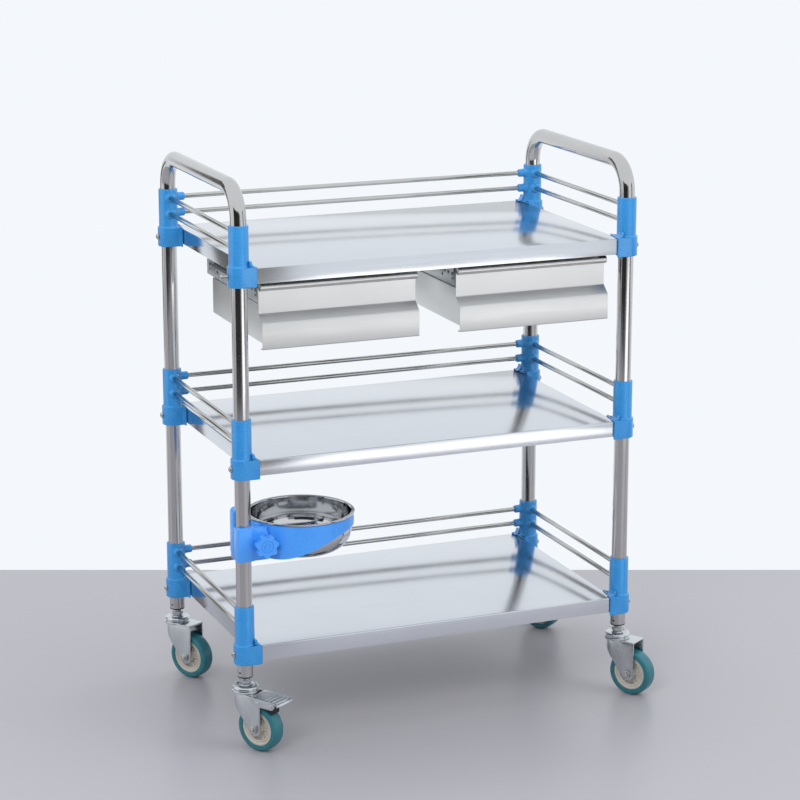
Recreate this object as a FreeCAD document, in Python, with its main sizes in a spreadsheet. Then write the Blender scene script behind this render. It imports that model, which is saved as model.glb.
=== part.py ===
import FreeCAD, Part
import math
import os
import re
import Sketcher

from FreeCAD import Placement, Rotation, Vector

# Three-shelf instrument cart. +Z is up, -Y is the side the drawers open to, and the
# origin is on the floor, midway between the four posts.

doc = FreeCAD.newDocument("instrument_cart")
sheet = doc.addObject("Spreadsheet::Sheet", "Sizes")

driving_sizes = [
    # frame tubes
    ("post_spacing_x", 655.0),       # between post axes, left to right
    ("post_spacing_y", 355.4),       # between post axes, front to back
    ("handle_rise", 66.8),           # top bracket to the top of the handle
    ("leg_show", 20.6),              # bare post below the lowest bracket
    ("tube_dia", 25.0),
    ("tube_wall", 1.2),
    ("handle_bend", 48.0),           # centre-line radius of the two handle bends
    ("slip_fit", 0.05),              # radial clearance of a rod or post in its hole
    # shelves
    ("shelf_pitch", 301.5),
    ("rim_height", 25.0),
    ("sheet_metal", 1.0),
    ("rim_hem", 9.0),                # width of the inward fold under each rim
    ("shelf_end_room", 4.5),         # post's surface to the end rim of a shelf
    # corner brackets
    ("block_wall", 5.5),             # around the post
    ("block_height", 31.6),
    ("arm_wall", 2.8),
    ("arm_length", 11.0),            # post's surface to the end of each arm
    ("web_thick", 1.6),              # tongue that laps over the shelf corner
    ("sleeve_wall", 3.0),
    ("sleeve_height", 62.6),
    ("boss_wall", 2.8),              # around a rail's end
    ("boss_length", 15.0),           # post's surface to the end of a back rail boss
    ("collar_length", 6.1),          # post's surface to the end of a side rail collar
    # guard rails
    ("rail_dia", 8.0),
    ("rail_drop", 14.0),             # sleeve top to the upper rail's axis
    ("rail_pitch", 26.0),
    ("back_rail_gap", 4.1),          # post's surface to the end of a back rail
    ("side_rail_gap", 0.7),
    # bracket screws
    ("screw_dia", 5.0),
    ("screw_head_dia", 10.0),
    ("screw_head_height", 3.6),
    ("screw_grip", 5.0),             # screw length inside the post's wall
    ("loose_screw_gap", 9.0),        # the front left top screw is not driven home
    # casters
    ("wheel_dia", 75.0),
    ("tyre_width", 24.0),
    ("tyre_depth", 9.0),
    ("hub_width", 21.0),
    ("axle_dia", 8.0),
    ("axle_spare", 3.0),             # thread beyond the fork at each end of the axle
    ("axle_head", 13.0),             # across the flats of the axle's head and nut
    ("axle_head_height", 5.0),
    ("hub_boss_dia", 20.0),
    ("hub_recess", 5.0),
    ("hub_ring", 7.0),               # width of the hub's outer ring
    ("side_play", 0.5),              # hub boss to each cheek
    ("tread_round", 3.0),
    ("tyre_seat", 0.02),             # radial gap between hub and tyre
    ("trail", 30.0),                 # swivel axis to wheel axle, in plan
    ("fork_gap", 30.0),              # clear width between the fork's cheeks
    ("fork_wall", 2.5),
    ("cheek_radius", 11.0),
    ("wheel_clearance", 16.5),       # tyre to the underside of the fork's crown
    ("crown_dia", 43.0),
    ("dome_height", 8.0),
    ("dome_top_dia", 24.0),
    ("stem_dia", 10.0),
    ("stem_show", 15.4),             # fork's dome to the end of the post
    ("stem_depth", 34.0),            # stem length inside the post
    ("stem_washer", 20.0),
    ("stem_head", 19.0),             # rivet head under the crown
    ("swivel_play", 0.4),            # up and down, between stem and fork
    ("stem_nut", 17.0),              # across flats
    ("stem_nut_height", 7.0),
    ("plug_flange", 2.6),
    ("plug_depth", 30.0),
    ("swivel_angle", -57.3),         # the way the wheels stand at rest
    # wheel brake
    ("pedal_reach", 48.5),           # axle to the pedal's tip, in plan
    ("pedal_wall", 2.0),
    ("pedal_gap", 0.5),              # pedal to the fork's cheeks
    ("pedal_start", 1.0),            # crown to the pedal's near end
    ("pedal_pin_reach", 9.6),        # axle to the pedal's pivot, in plan
    ("pedal_pin_drop", 7.5),         # crown underside to the pedal's pivot
    ("pedal_pin_dia", 6.0),
    ("pedal_pin_spare", 1.2),        # pivot beyond the pedal's sides
    ("pedal_side_height", 11.5),
    ("pedal_side_end", 8.5),         # pedal's tip to the end of its sides
    ("cheek_drop", 4.0),             # braked cheeks, below the crown's underside
    ("cheek_reach", 15.5),           # braked cheeks, axle to their upper end, in plan
    ("cheek_ear", 13.5),             # braked cheeks, crown underside to the ear's foot
    ("pedal_rib", 3.0),
    ("pedal_rib_height", 1.6),
    ("pedal_rib_pitch", 7.0),
    ("shoe_width", 20.0),
    ("shoe_start", 15.0),            # axle to the shoe's near end, in plan
    ("shoe_length", 14.0),
    ("shoe_gap", 3.0),               # shoe to tyre with the brake off
    # drawers
    ("drawer_side_room", 17.0),      # drawer to the end rim of the shelf
    ("drawer_gap", 69.0),            # between the two drawers
    ("box_depth", 223.0),            # upper front panel to the back wall
    ("box_side_height", 58.0),       # box floor to the step under the slides
    ("front_setback", 24.9),         # shelf's rim to the set-back upper panel
    ("lower_panel_lead", 16.5),      # the lower panel stands this far ahead of it
    ("grip_room", 4.4),              # under the shelf's rim
    ("grip_dia", 12.0),
    ("front_height", 101.6),
    ("lower_panel_height", 40.5),
    ("ledge_height", 13.5),
    ("front_hang", 10.0),            # the front hangs this far below the box
    ("front_hem", 9.0),
    # drawer slides
    ("slide_length", 250.0),
    ("slide_setback", 3.0),          # upper panel to the slide's end
    ("slide_height", 25.0),
    ("slide_thick", 12.7),
    ("slide_gap", 0.5),              # slide to the box's side step
    ("slide_wall", 1.5),
    ("slide_lip", 9.0),
    ("middle_lip", 6.0),
    ("hanger_length", 30.0),
    ("hanger_inset", 8.0),           # slide's end to the hanger
    ("hanger_flange", 16.0),
    # bowl holder
    ("clamp_drop", 133.5),           # middle shelf down to the middle of the clamp
    ("clamp_tall", 54.0),
    ("clamp_side_wall", 3.0),        # beside the post
    ("clamp_back_wall", 6.0),        # behind the post
    ("jaw_wall", 7.0),               # in front of the post
    ("jaw_flap", 5.0),
    ("flap_setback", 1.5),           # behind the jaw's front
    ("clamp_split", 0.4),            # half the gap between the two halves
    ("lug_rise", 26.0),              # ring to the top of the lug behind the post
    ("link_lap", 11.0),              # fixed half past the ring's nearest side
    ("ring_bore", 164.0),
    ("ring_wall", 3.0),
    ("ring_gap_x", 9.5),             # post's surface to the ring's nearest side, along X
    ("ring_offset_y", 35.0),         # post axis to ring axis, along Y
    ("ring_height", 55.0),
    ("ring_far_height", 18.0),       # band height at the side away from the post
    ("ring_slope_start", 39.0),      # ring axis to where the band begins to narrow
    ("knob_room", 14.0),             # post's surface to the knob's axis
    ("flap_end", 9.5),               # knob's axis to the end of the flap
    ("knob_dia", 38.0),
    ("knob_core", 30.0),
    ("knob_lobe", 9.5),
    ("knob_thick", 9.0),
    ("knob_neck", 17.0),             # diameter of the neck behind the lobes
    ("knob_neck_height", 12.0),
    ("knob_screw", 6.0),
    ("knob_screw_length", 22.4),
    ("knob_lobes", 7.0),
    ("bowl_rim_lap", 4.5),           # the rim stands this far past the ring's bore
    ("bowl_rim_thick", 2.1),
    ("bowl_fit", 0.6),               # bowl wall to ring, and rim to ring
    ("bowl_depth", 64.0),
    ("bowl_base_dia", 84.0),
    ("bowl_wall", 1.0),
    ("bowl_flatness", 0.9),          # height of the wall's curve over its width
]

aliases = {alias for alias, _ in driving_sizes}
for row, (alias, value) in enumerate(driving_sizes, start=1):
    sheet.set(f"A{row}", alias)
    sheet.set(f"B{row}", str(value))
    sheet.setAlias(f"B{row}", alias)
doc.recompute()

named_formulas = {
    "post_x": "(post_spacing_x / 2)",
    "post_y": "(post_spacing_y / 2)",
    "axle_height": "(wheel_dia / 2)",
    "crown_bottom": "(wheel_dia + wheel_clearance)",
    "dome_base": "(crown_bottom + fork_wall)",
    "dome_top": "(dome_base + dome_height)",
    "leg_bottom": "(dome_top + stem_show)",
    "lowest_shelf": "(leg_bottom + leg_show + block_height - web_thick)",
    "middle_shelf": "(lowest_shelf + shelf_pitch)",
    "top_shelf": "(lowest_shelf + 2 * shelf_pitch)",
    "handle_axis": "(top_shelf + web_thick + sleeve_height + handle_rise - tube_dia / 2)",
    "shelf_end_gap": "(tube_dia / 2 + shelf_end_room)",
    "shelf_side_lap": "(block_radius - arm_wall)",
    "shelf_x": "(post_x - shelf_end_gap)",
    "shelf_y": "(post_y + shelf_side_lap)",
    "block_radius": "(tube_dia / 2 + block_wall)",
    "arm_reach": "(tube_dia / 2 + arm_length)",
    "sleeve_dia": "(tube_dia + 2 * sleeve_wall)",
    "boss_dia": "(rail_dia + 2 * boss_wall)",
    "boss_reach": "(tube_dia / 2 + boss_length)",
    "collar_reach": "(tube_dia / 2 + collar_length)",
    "back_rail_start": "(tube_dia / 2 + back_rail_gap)",
    "side_rail_start": "(tube_dia / 2 + side_rail_gap)",
    "pedal_pin_z": "(crown_bottom - pedal_pin_drop)",
    "pedal_pin_x": "(trail + pedal_pin_reach)",
    "pedal_side": "(fork_gap / 2 + fork_wall + pedal_gap)",
    "box_x": "(drawer_gap / 2)",
    "drawer_width": "(shelf_x - drawer_side_room - drawer_gap / 2)",
    "grip_top": "(top_shelf - rim_height - grip_room)",
    "front_bottom": "(grip_top - front_height)",
    "box_bottom": "(front_bottom + front_hang)",
    "box_side_top": "(box_bottom + box_side_height)",
    "box_rim_top": "(box_side_top + slide_height)",
    "ledge_bottom": "(front_bottom + lower_panel_height)",
    "ledge_top": "(ledge_bottom + ledge_height)",
    "upper_panel_y": "(front_setback - shelf_y)",
    "lower_panel_y": "(upper_panel_y - lower_panel_lead)",
    "box_back": "(upper_panel_y + box_depth)",
    "slide_start_y": "(upper_panel_y + slide_setback)",
    "slide_bottom": "(box_side_top + slide_gap)",
    "step_width": "(slide_thick + 2 * slide_gap)",
    "clamp_height": "(middle_shelf - clamp_drop)",
    "clamp_bottom": "(clamp_height - clamp_tall / 2)",
    "clamp_side": "(tube_dia / 2 + clamp_side_wall)",
    "clamp_back": "(tube_dia / 2 + clamp_back_wall)",
    "jaw_front": "(tube_dia / 2 + jaw_wall)",
    "flap_front": "(jaw_front - flap_setback)",
    "ring_top": "(clamp_bottom + ring_height)",
    "lug_top": "(ring_top + lug_rise)",
    "ring_offset_x": "(tube_dia / 2 + ring_gap_x + ring_wall + ring_bore / 2)",
    "knob_offset": "(tube_dia / 2 + knob_room)",
    "clamp_right": "(knob_offset + flap_end)",
    "bowl_rim_dia": "(ring_bore + 2 * bowl_rim_lap)",
    "bowl_bottom": "(ring_top + bowl_fit + bowl_rim_thick - bowl_depth)",
}


def formula(text):
    """Spell out the named formulas and put the sheet's name before each alias."""
    text = str(text)
    word = re.compile(r"[a-z]+(?:_[a-z]+)+|trail")
    while any(name in named_formulas for name in word.findall(text)):
        text = word.sub(lambda hit: named_formulas.get(hit.group(), hit.group()), text)
    return word.sub(lambda hit: "Sizes." + hit.group() if hit.group() in aliases
                    else hit.group(), text)


def size(text):
    """The present value of a formula."""
    return float(sheet.evalExpression(formula(text)))


def bind(obj, **formulas):
    for name, text in formulas.items():
        obj.setExpression(name, formula(text))


def bind_base(obj, at):
    for axis, text in zip("xyz", at):
        obj.setExpression(f"Placement.Base.{axis}", formula(text))


turns = {
    "x": Rotation(Vector(0, 1, 0), 90),
    "y": Rotation(Vector(1, 0, 0), -90),
    "z": Rotation(),
}


def box(at, extent):
    """A box from its lowest corner and its extent along X, Y and Z."""
    obj = doc.addObject("Part::Box", "block")
    bind(obj, Length=extent[0], Width=extent[1], Height=extent[2])
    bind_base(obj, at)
    return obj


def rod(axis, at, dia, length):
    """A cylinder that runs from a point in the direction of an axis."""
    obj = doc.addObject("Part::Cylinder", "rod")
    obj.Placement = Placement(Vector(), turns[axis])
    bind(obj, Radius=f"({dia}) / 2", Height=length)
    bind_base(obj, at)
    return obj


def cone(axis, at, dia_start, dia_end, length):
    obj = doc.addObject("Part::Cone", "cone")
    obj.Placement = Placement(Vector(), turns[axis])
    bind(obj, Radius1=f"({dia_start}) / 2", Radius2=f"({dia_end}) / 2", Height=length)
    bind_base(obj, at)
    return obj


def hexagon(axis, at, across_flats, length):
    obj = doc.addObject("Part::Prism", "hexagon")
    obj.Polygon = 6
    obj.Placement = Placement(Vector(), turns[axis])
    bind(obj, Circumradius=f"({across_flats}) / sqrt(3)", Height=length)
    bind_base(obj, at)
    return obj


def fuse(*shapes, label="joined"):
    obj = doc.addObject("Part::MultiFuse", label)
    obj.Shapes = list(shapes)
    obj.Refine = True
    return obj


def cut(base, *tools, label="cut"):
    tool = tools[0] if len(tools) == 1 else fuse(*tools)
    obj = doc.addObject("Part::Cut", label)
    obj.Base = base
    obj.Tool = tool
    obj.Refine = True
    return obj


def group(label, shapes):
    """Separate solids that share one node."""
    obj = doc.addObject("Part::Compound", label)
    obj.Links = list(shapes)
    return obj


def mirrored(obj, label):
    """The same piece on the other side of the cart's middle."""
    copy = doc.addObject("Part::Mirroring", label)
    copy.Source = obj
    copy.Normal = Vector(1, 0, 0)
    return copy


def sketch_in(body, plane, name, lift="0"):
    sketch = body.newObject("Sketcher::SketchObject", name)
    base = [item for item in body.Origin.OriginFeatures if item.Role == plane][0]
    sketch.AttachmentSupport = [(base, "")]
    sketch.MapMode = "FlatFace"
    sketch.setExpression("AttachmentOffset.Base.z", formula(lift))
    return sketch


def pin_point(sketch, geometry, vertex, at):
    """Fix a sketch point by its two formulas."""
    for kind, text in zip(("DistanceX", "DistanceY"), at):
        index = sketch.addConstraint(
            Sketcher.Constraint(kind, -1, 1, geometry, vertex, size(text)))
        sketch.setExpression(f"Constraints[{index}]", formula(text))


def outline(sketch, corners):
    """A closed outline with straight sides."""
    points = [Vector(size(u), size(v), 0) for u, v in corners]
    sides = [Part.LineSegment(points[i], points[(i + 1) % len(points)])
             for i in range(len(points))]
    sketch.addGeometry(sides, False)
    for i in range(len(points)):
        sketch.addConstraint(
            Sketcher.Constraint("Coincident", i, 2, (i + 1) % len(points), 1))
        pin_point(sketch, i, 1, corners[i])


def circle(sketch, at, dia):
    centre = Vector(size(at[0]), size(at[1]), 0)
    index = sketch.addGeometry(Part.Circle(centre, Vector(0, 0, 1), size(dia) / 2), False)
    pin_point(sketch, index, 3, at)
    limit = sketch.addConstraint(Sketcher.Constraint("Diameter", index, size(dia)))
    sketch.setExpression(f"Constraints[{limit}]", formula(dia))


def pad(body, sketch, length, reverse=False, midplane=False):
    feature = body.newObject("PartDesign::Pad", "Pad")
    feature.Profile = sketch
    feature.Reversed = reverse
    feature.Midplane = midplane
    bind(feature, Length=length)
    return feature


def spun(label, corners):
    """A body turned about its own Z axis from an outline of radii and heights."""
    body = doc.addObject("PartDesign::Body", label)
    sketch = sketch_in(body, "XZ_Plane", f"{label}_section")
    outline(sketch, corners)
    feature = body.newObject("PartDesign::Revolution", "Turned")
    feature.Profile = sketch
    feature.ReferenceAxis = (sketch, ["V_Axis"])
    feature.Angle = 360.0
    return body


def place(obj, at, angle="0"):
    """Set a finished sub-part down, turned about Z, at its place on the cart."""
    obj.Placement = Placement(Vector(), Rotation(Vector(0, 0, 1), size(angle)))
    bind_base(obj, at)


sub_parts = []


def finished(obj, label):
    obj.Label = label
    sub_parts.append(obj)
    return obj


sides = {"left": -1, "right": 1}
ends = {"front": -1, "back": 1}
levels = {"bottom": "lowest_shelf", "middle": "middle_shelf", "top": "top_shelf"}
corners_of_cart = [(end, side) for end in ends for side in sides]
braked_corners = [("front", "left"), ("back", "right")]


def screw_height(level):
    return f"{level} + web_thick - block_height / 2"


def make_frame(side):
    """One end frame: two posts and the handle in a single bent tube."""
    body = doc.addObject("PartDesign::Body", f"frame_{side}_tube")
    path = sketch_in(body, "YZ_Plane", "tube_path")
    y = size("post_y")
    bend = size("handle_bend")
    foot = size("leg_bottom")
    top = size("handle_axis")
    up = Vector(0, 0, 1)
    quarter = math.pi / 2
    back_arc = Part.ArcOfCircle(Part.Circle(Vector(bend - y, top - bend, 0), up, bend),
                                quarter, 2 * quarter)
    front_arc = Part.ArcOfCircle(Part.Circle(Vector(y - bend, top - bend, 0), up, bend),
                                 0, quarter)
    path.addGeometry([
        Part.LineSegment(Vector(-y, foot, 0), Vector(-y, top - bend, 0)),
        back_arc,
        Part.LineSegment(Vector(bend - y, top, 0), Vector(y - bend, top, 0)),
        front_arc,
        Part.LineSegment(Vector(y, top - bend, 0), Vector(y, foot, 0)),
    ], False)
    for joint in ((0, 2, 1, 2), (1, 1, 2, 1), (2, 2, 3, 2), (3, 1, 4, 1)):
        path.addConstraint(Sketcher.Constraint("Tangent", *joint))
    path.addConstraint(Sketcher.Constraint("Vertical", 0))
    path.addConstraint(Sketcher.Constraint("Horizontal", 2))
    path.addConstraint(Sketcher.Constraint("Vertical", 4))
    pin_point(path, 0, 1, ("-post_y", "leg_bottom"))
    pin_point(path, 4, 2, ("post_y", "leg_bottom"))
    height = path.addConstraint(Sketcher.Constraint("DistanceY", -1, 1, 2, 1, top))
    path.setExpression(f"Constraints[{height}]", formula("handle_axis"))
    for arc in (1, 3):
        radius = path.addConstraint(Sketcher.Constraint("Radius", arc, bend))
        path.setExpression(f"Constraints[{radius}]", formula("handle_bend"))
    section = sketch_in(body, "XY_Plane", "tube_section", "leg_bottom")
    circle(section, ("0", "-post_y"), "tube_dia")
    circle(section, ("0", "-post_y"), "tube_dia - 2 * tube_wall")
    pipe = body.newObject("PartDesign::AdditivePipe", "Bent")
    pipe.Profile = section
    pipe.Spine = (path, [])
    bind_base(body, (f"{sides[side]} * post_x", "0", "0"))
    holes = []
    for end in ends:
        for level in levels.values():
            start = "-post_x - tube_dia" if side == "left" else "post_x"
            at = (start, f"{ends[end]} * post_y", screw_height(level))
            holes.append(rod("x", at, "screw_dia + 2 * slip_fit", "tube_dia"))
    finished(cut(body, *holes), f"frame_{side}")


def make_shelf(name, level):
    """A sheet pan, turned upside down, with a hem folded in under its rim."""
    pan = box(("-shelf_x", "-shelf_y", f"{level} - rim_height"),
              ("2 * shelf_x", "2 * shelf_y", "rim_height"))
    hollow = box(("sheet_metal - shelf_x", "sheet_metal - shelf_y",
                  f"{level} - rim_height + sheet_metal"),
                 ("2 * (shelf_x - sheet_metal)", "2 * (shelf_y - sheet_metal)",
                  "rim_height - 2 * sheet_metal"))
    mouth = box(("rim_hem - shelf_x", "rim_hem - shelf_y", f"{level} - rim_height"),
                ("2 * (shelf_x - rim_hem)", "2 * (shelf_y - rim_hem)", "2 * sheet_metal"))
    finished(cut(pan, hollow, mouth), f"shelf_{name}")


def make_bracket(end, name, level):
    """The moulded corner piece that joins a post, a shelf corner and the rail ends.

    Modelled for the front or back of the left side, in the post's own frame with
    z = 0 at the block's top, then mirrored to the right side."""
    way = -ends[end]
    low = "-block_height"

    def along(start, length):
        """Start of a Y extent that runs inwards from the post."""
        return start if way > 0 else f"-({start}) - ({length})"

    bore = rod("z", ("0", "0", low), "tube_dia + 2 * slip_fit",
               "block_height + sleeve_height")
    reach = "arm_reach + block_radius"
    solids = [
        rod("z", ("0", "0", low), "2 * block_radius", "block_height"),
        rod("z", ("0", "0", "0"), "sleeve_dia", "sleeve_height"),
        box(("0", along("-block_radius", "arm_wall"), low),
            ("arm_reach", "arm_wall", "block_height")),
        box(("0", along("-block_radius", reach), low),
            ("shelf_end_gap", reach, "block_height")),
        box(("0", along("-block_radius", reach), "-web_thick"),
            ("arm_reach", reach, "web_thick")),
    ]
    shelf = box(("shelf_end_gap", along("-shelf_side_lap", "2 * block_radius + arm_reach"),
                 low),
                ("2 * block_radius", "2 * block_radius + arm_reach",
                 "block_height - web_thick"))
    relief = box((f"-{reach}", along("shelf_end_gap", reach), low),
                 (f"{reach} + shelf_end_gap - arm_wall", reach, "block_height"))
    screw = rod("x", ("-2 * block_radius", "0", "-block_height / 2"),
                "screw_dia + 2 * slip_fit", "2 * block_radius")
    cuts = [bore, shelf, relief, screw]
    for row in (0, 1):
        height = f"sleeve_height - rail_drop - {row} * rail_pitch"
        solids.append(rod("y", ("0", along("0", "collar_reach"), height), "boss_dia",
                          "collar_reach"))
        cuts.append(rod("y", ("0", along("side_rail_start", "tube_dia"), height),
                        "rail_dia + 2 * slip_fit", "tube_dia"))
        if end == "back":
            solids.append(rod("x", ("0", "0", height), "boss_dia", "boss_reach"))
            cuts.append(rod("x", ("back_rail_start", "0", height),
                            "rail_dia + 2 * slip_fit", "boss_reach"))
    left = cut(fuse(*solids), *cuts)
    bind_base(left, ("-post_x", f"{ends[end]} * post_y", f"{level} + web_thick"))
    finished(left, f"bracket_{end}_left_{name}")
    finished(mirrored(left, f"bracket_{end}_right_{name}"), f"bracket_{end}_right_{name}")


def make_rails(name, level):
    """Two guard rails on each end and on the back of one shelf."""
    rods = []
    for row in (0, 1):
        height = f"{level} + web_thick + sleeve_height - rail_drop - {row} * rail_pitch"
        rods.append(rod("x", ("back_rail_start - post_x", "post_y", height), "rail_dia",
                        "post_spacing_x - 2 * back_rail_start"))
        for way in sides.values():
            rods.append(rod("y", (f"{way} * post_x", "side_rail_start - post_y", height),
                            "rail_dia", "post_spacing_y - 2 * side_rail_start"))
    finished(group(f"rails_{name}_rods", rods), f"rails_{name}")


def make_screws():
    """One pan-head screw through the outer side of every bracket."""
    screws = []
    for end, side in corners_of_cart:
        for name, level in levels.items():
            loose = (end, side, name) == ("front", "left", "top")
            gap = "loose_screw_gap" if loose else "0"
            y = f"{ends[end]} * post_y"
            z = screw_height(level)
            head_x = f"-post_x - block_radius - {gap}"
            shank = rod("x", (head_x, y, z), "screw_dia",
                        f"{gap} + block_radius - tube_dia / 2 + screw_grip")
            head = cone("x", (f"{head_x} - screw_head_height", y, z),
                        "screw_head_dia - screw_head_height", "screw_head_dia",
                        "screw_head_height")
            screw = fuse(shank, head)
            screws.append(screw if side == "left" else mirrored(screw, "screw"))
    finished(group("bracket_screw_set", screws), "bracket_screws")


def make_plugs():
    """The black plug in the end of each post, bored for the caster's stem."""
    plugs = []
    for end, side in corners_of_cart:
        x, y = f"{sides[side]} * post_x", f"{ends[end]} * post_y"
        flange = rod("z", (x, y, "leg_bottom - plug_flange"), "tube_dia", "plug_flange")
        core = rod("z", (x, y, "leg_bottom"), "tube_dia - 2 * tube_wall - 2 * slip_fit",
                   "plug_depth")
        bore = rod("z", (x, y, "leg_bottom - plug_flange"), "stem_dia + 2 * slip_fit",
                   "plug_flange + plug_depth")
        plugs.append(cut(fuse(flange, core), bore))
    finished(group("post_plug_set", plugs), "post_plugs")


def make_caster(end, side):
    """Stem, fork, axle, hub and tyre. Local +X is the way the wheel trails."""
    at = (f"{sides[side]} * post_x", f"{ends[end]} * post_y", "0")
    name = f"{end}_{side}"

    shank = rod("z", ("0", "0", "crown_bottom - fork_wall"), "stem_dia",
                "leg_bottom + stem_depth - crown_bottom + fork_wall")
    head = rod("z", ("0", "0", "crown_bottom - fork_wall"), "stem_head",
               "fork_wall - swivel_play")
    nut = hexagon("z", ("0", "0", "leg_bottom - plug_flange - stem_nut_height"),
                  "stem_nut", "stem_nut_height")
    washer = rod("z", ("0", "0", "dome_top + swivel_play"), "stem_washer", "fork_wall")
    stem = fuse(shank, head, nut, washer)
    place(stem, at, "swivel_angle")
    finished(stem, f"caster_{name}_stem")

    cheeks = doc.addObject("PartDesign::Body", f"fork_{name}_cheeks")
    sketch = sketch_in(cheeks, "XZ_Plane", "cheek_outline")
    heel = "trail + cheek_radius"
    ear = "trail + cheek_reach"
    with_brake = (end, side) in braked_corners
    rear_top = [(heel, "crown_bottom")]
    if with_brake:
        rear_top = [("crown_dia / 2", "crown_bottom"),
                    ("crown_dia / 2", "crown_bottom - cheek_drop"),
                    (ear, "crown_bottom - cheek_drop"), (ear, "crown_bottom - cheek_ear"),
                    (heel, "crown_bottom - cheek_ear - cheek_drop")]
    outline(sketch, [("-crown_dia / 2", "crown_bottom"), *rear_top,
                     (heel, "axle_height"),
                     ("trail + cheek_radius * 0.6", "axle_height - cheek_radius * 0.8"),
                     ("trail - cheek_radius * 0.6", "axle_height - cheek_radius * 0.8"),
                     ("trail - cheek_radius * 1.2", "axle_height + cheek_radius * 0.2")])
    pad(cheeks, sketch, "fork_gap + 2 * fork_wall", midplane=True)
    bay = box(("-crown_dia", "-fork_gap / 2", "0"),
              ("2 * crown_dia + trail", "fork_gap", "crown_bottom"))
    crown = rod("z", ("0", "0", "crown_bottom"), "crown_dia", "fork_wall")
    top = [crown]
    holes = [rod("y", ("trail", "-fork_gap", "axle_height"), "axle_dia + 2 * slip_fit",
                 "2 * fork_gap")]
    if with_brake:
        holes.append(rod("y", ("pedal_pin_x", "-fork_gap", "pedal_pin_z"),
                         "pedal_pin_dia + 2 * slip_fit", "2 * fork_gap"))
    else:
        top.append(box(("0", "-fork_gap / 2 - fork_wall", "crown_bottom"),
                       (heel, "fork_gap + 2 * fork_wall", "fork_wall")))
    dome = cone("z", ("0", "0", "dome_base"), "crown_dia - fork_wall", "dome_top_dia",
                "dome_height")
    pivot = rod("z", ("0", "0", "0"), "stem_dia + 2 * slip_fit", "leg_bottom")
    fork = cut(fuse(cut(cheeks, bay), *top, dome), pivot, *holes)
    place(fork, at, "swivel_angle")
    finished(fork, f"caster_{name}_fork")

    half = "(fork_gap / 2 + fork_wall)"
    bolt = rod("y", ("trail", f"-{half} - axle_spare", "axle_height"), "axle_dia",
               f"2 * {half} + axle_spare + axle_head_height + axle_spare")
    bolt_head = hexagon("y", ("trail", f"-{half} - axle_head_height", "axle_height"),
                        "axle_head", "axle_head_height")
    bolt_nut = hexagon("y", ("trail", half, "axle_height"), "axle_head", "axle_head_height")
    axle = fuse(bolt, bolt_head, bolt_nut)
    place(axle, at, "swivel_angle")
    finished(axle, f"caster_{name}_axle")

    core_dia = "(wheel_dia - 2 * tyre_depth)"
    disc = rod("y", ("trail", "-hub_width / 2", "axle_height"), core_dia, "hub_width")
    boss = rod("y", ("trail", "side_play - fork_gap / 2", "axle_height"), "hub_boss_dia",
               "fork_gap - 2 * side_play")
    hub_bore = rod("y", ("trail", "-fork_gap / 2", "axle_height"),
                   "axle_dia + 2 * slip_fit", "fork_gap")
    recesses = []
    for face in ("-hub_width / 2", "hub_width / 2 - hub_recess"):
        outer = rod("y", ("trail", face, "axle_height"), f"{core_dia} - 2 * hub_ring",
                    "hub_recess")
        inner = rod("y", ("trail", face, "axle_height"), "hub_boss_dia", "hub_recess")
        recesses.append(cut(outer, inner))
    hub = cut(fuse(disc, boss), hub_bore, *recesses)
    place(hub, at, "swivel_angle")
    finished(hub, f"caster_{name}_hub")

    seat = f"{core_dia} / 2 + tyre_seat"
    tyre = spun(f"tyre_{name}", [
        (seat, "-tyre_width / 2"),
        ("axle_height - tread_round", "-tyre_width / 2"),
        ("axle_height", "tread_round - tyre_width / 2"),
        ("axle_height", "tyre_width / 2 - tread_round"),
        ("axle_height - tread_round", "tyre_width / 2"),
        (seat, "tyre_width / 2")])
    tyre.Placement = Placement(Vector(), turns["y"])
    bind_base(tyre, ("trail", "0", "axle_height"))
    on_wheel = group(f"tyre_{name}_place", [tyre])
    place(on_wheel, at, "swivel_angle")
    finished(on_wheel, f"caster_{name}_tyre")


def make_brake(end, side):
    """A foot pedal with its shoe, on the trailing side of a caster's fork."""
    at = (f"{sides[side]} * post_x", f"{ends[end]} * post_y", "0")
    name = f"{end}_{side}"
    start = "(crown_dia / 2 + pedal_start)"
    half = "(pedal_side + pedal_wall)"
    plate_z = "(crown_bottom - pedal_wall)"
    plate = box((start, f"-{half}", plate_z),
                (f"trail + pedal_reach - {start}", f"2 * {half}", "pedal_wall"))
    ribs = [box((f"trail + pedal_reach - 2 * pedal_rib - {step} * pedal_rib_pitch",
                 f"-{half}", "crown_bottom"), ("pedal_rib", f"2 * {half}", "pedal_rib_height"))
            for step in range(4)]
    flanges = [box((start, y, f"{plate_z} - pedal_side_height"),
                   (f"trail + pedal_reach - pedal_side_end - {start}", "pedal_wall",
                    "pedal_side_height")) for y in ("pedal_side", f"-{half}")]
    pin = rod("y", ("pedal_pin_x", f"-{half} - pedal_pin_spare", "pedal_pin_z"),
              "pedal_pin_dia", f"2 * ({half} + pedal_pin_spare)")
    pedal = fuse(plate, pin, *flanges, *ribs)
    place(pedal, at, "swivel_angle")
    finished(pedal, f"brake_{name}_pedal")

    block = box(("trail + shoe_start", "-shoe_width / 2", "axle_height"),
                ("shoe_length", "shoe_width", f"{plate_z} - axle_height"))
    tread = rod("y", ("trail", "-shoe_width", "axle_height"), "wheel_dia + 2 * shoe_gap",
                "2 * shoe_width")
    shoe = cut(block, tread)
    place(shoe, at, "swivel_angle")
    finished(shoe, f"brake_{name}_shoe")


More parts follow.
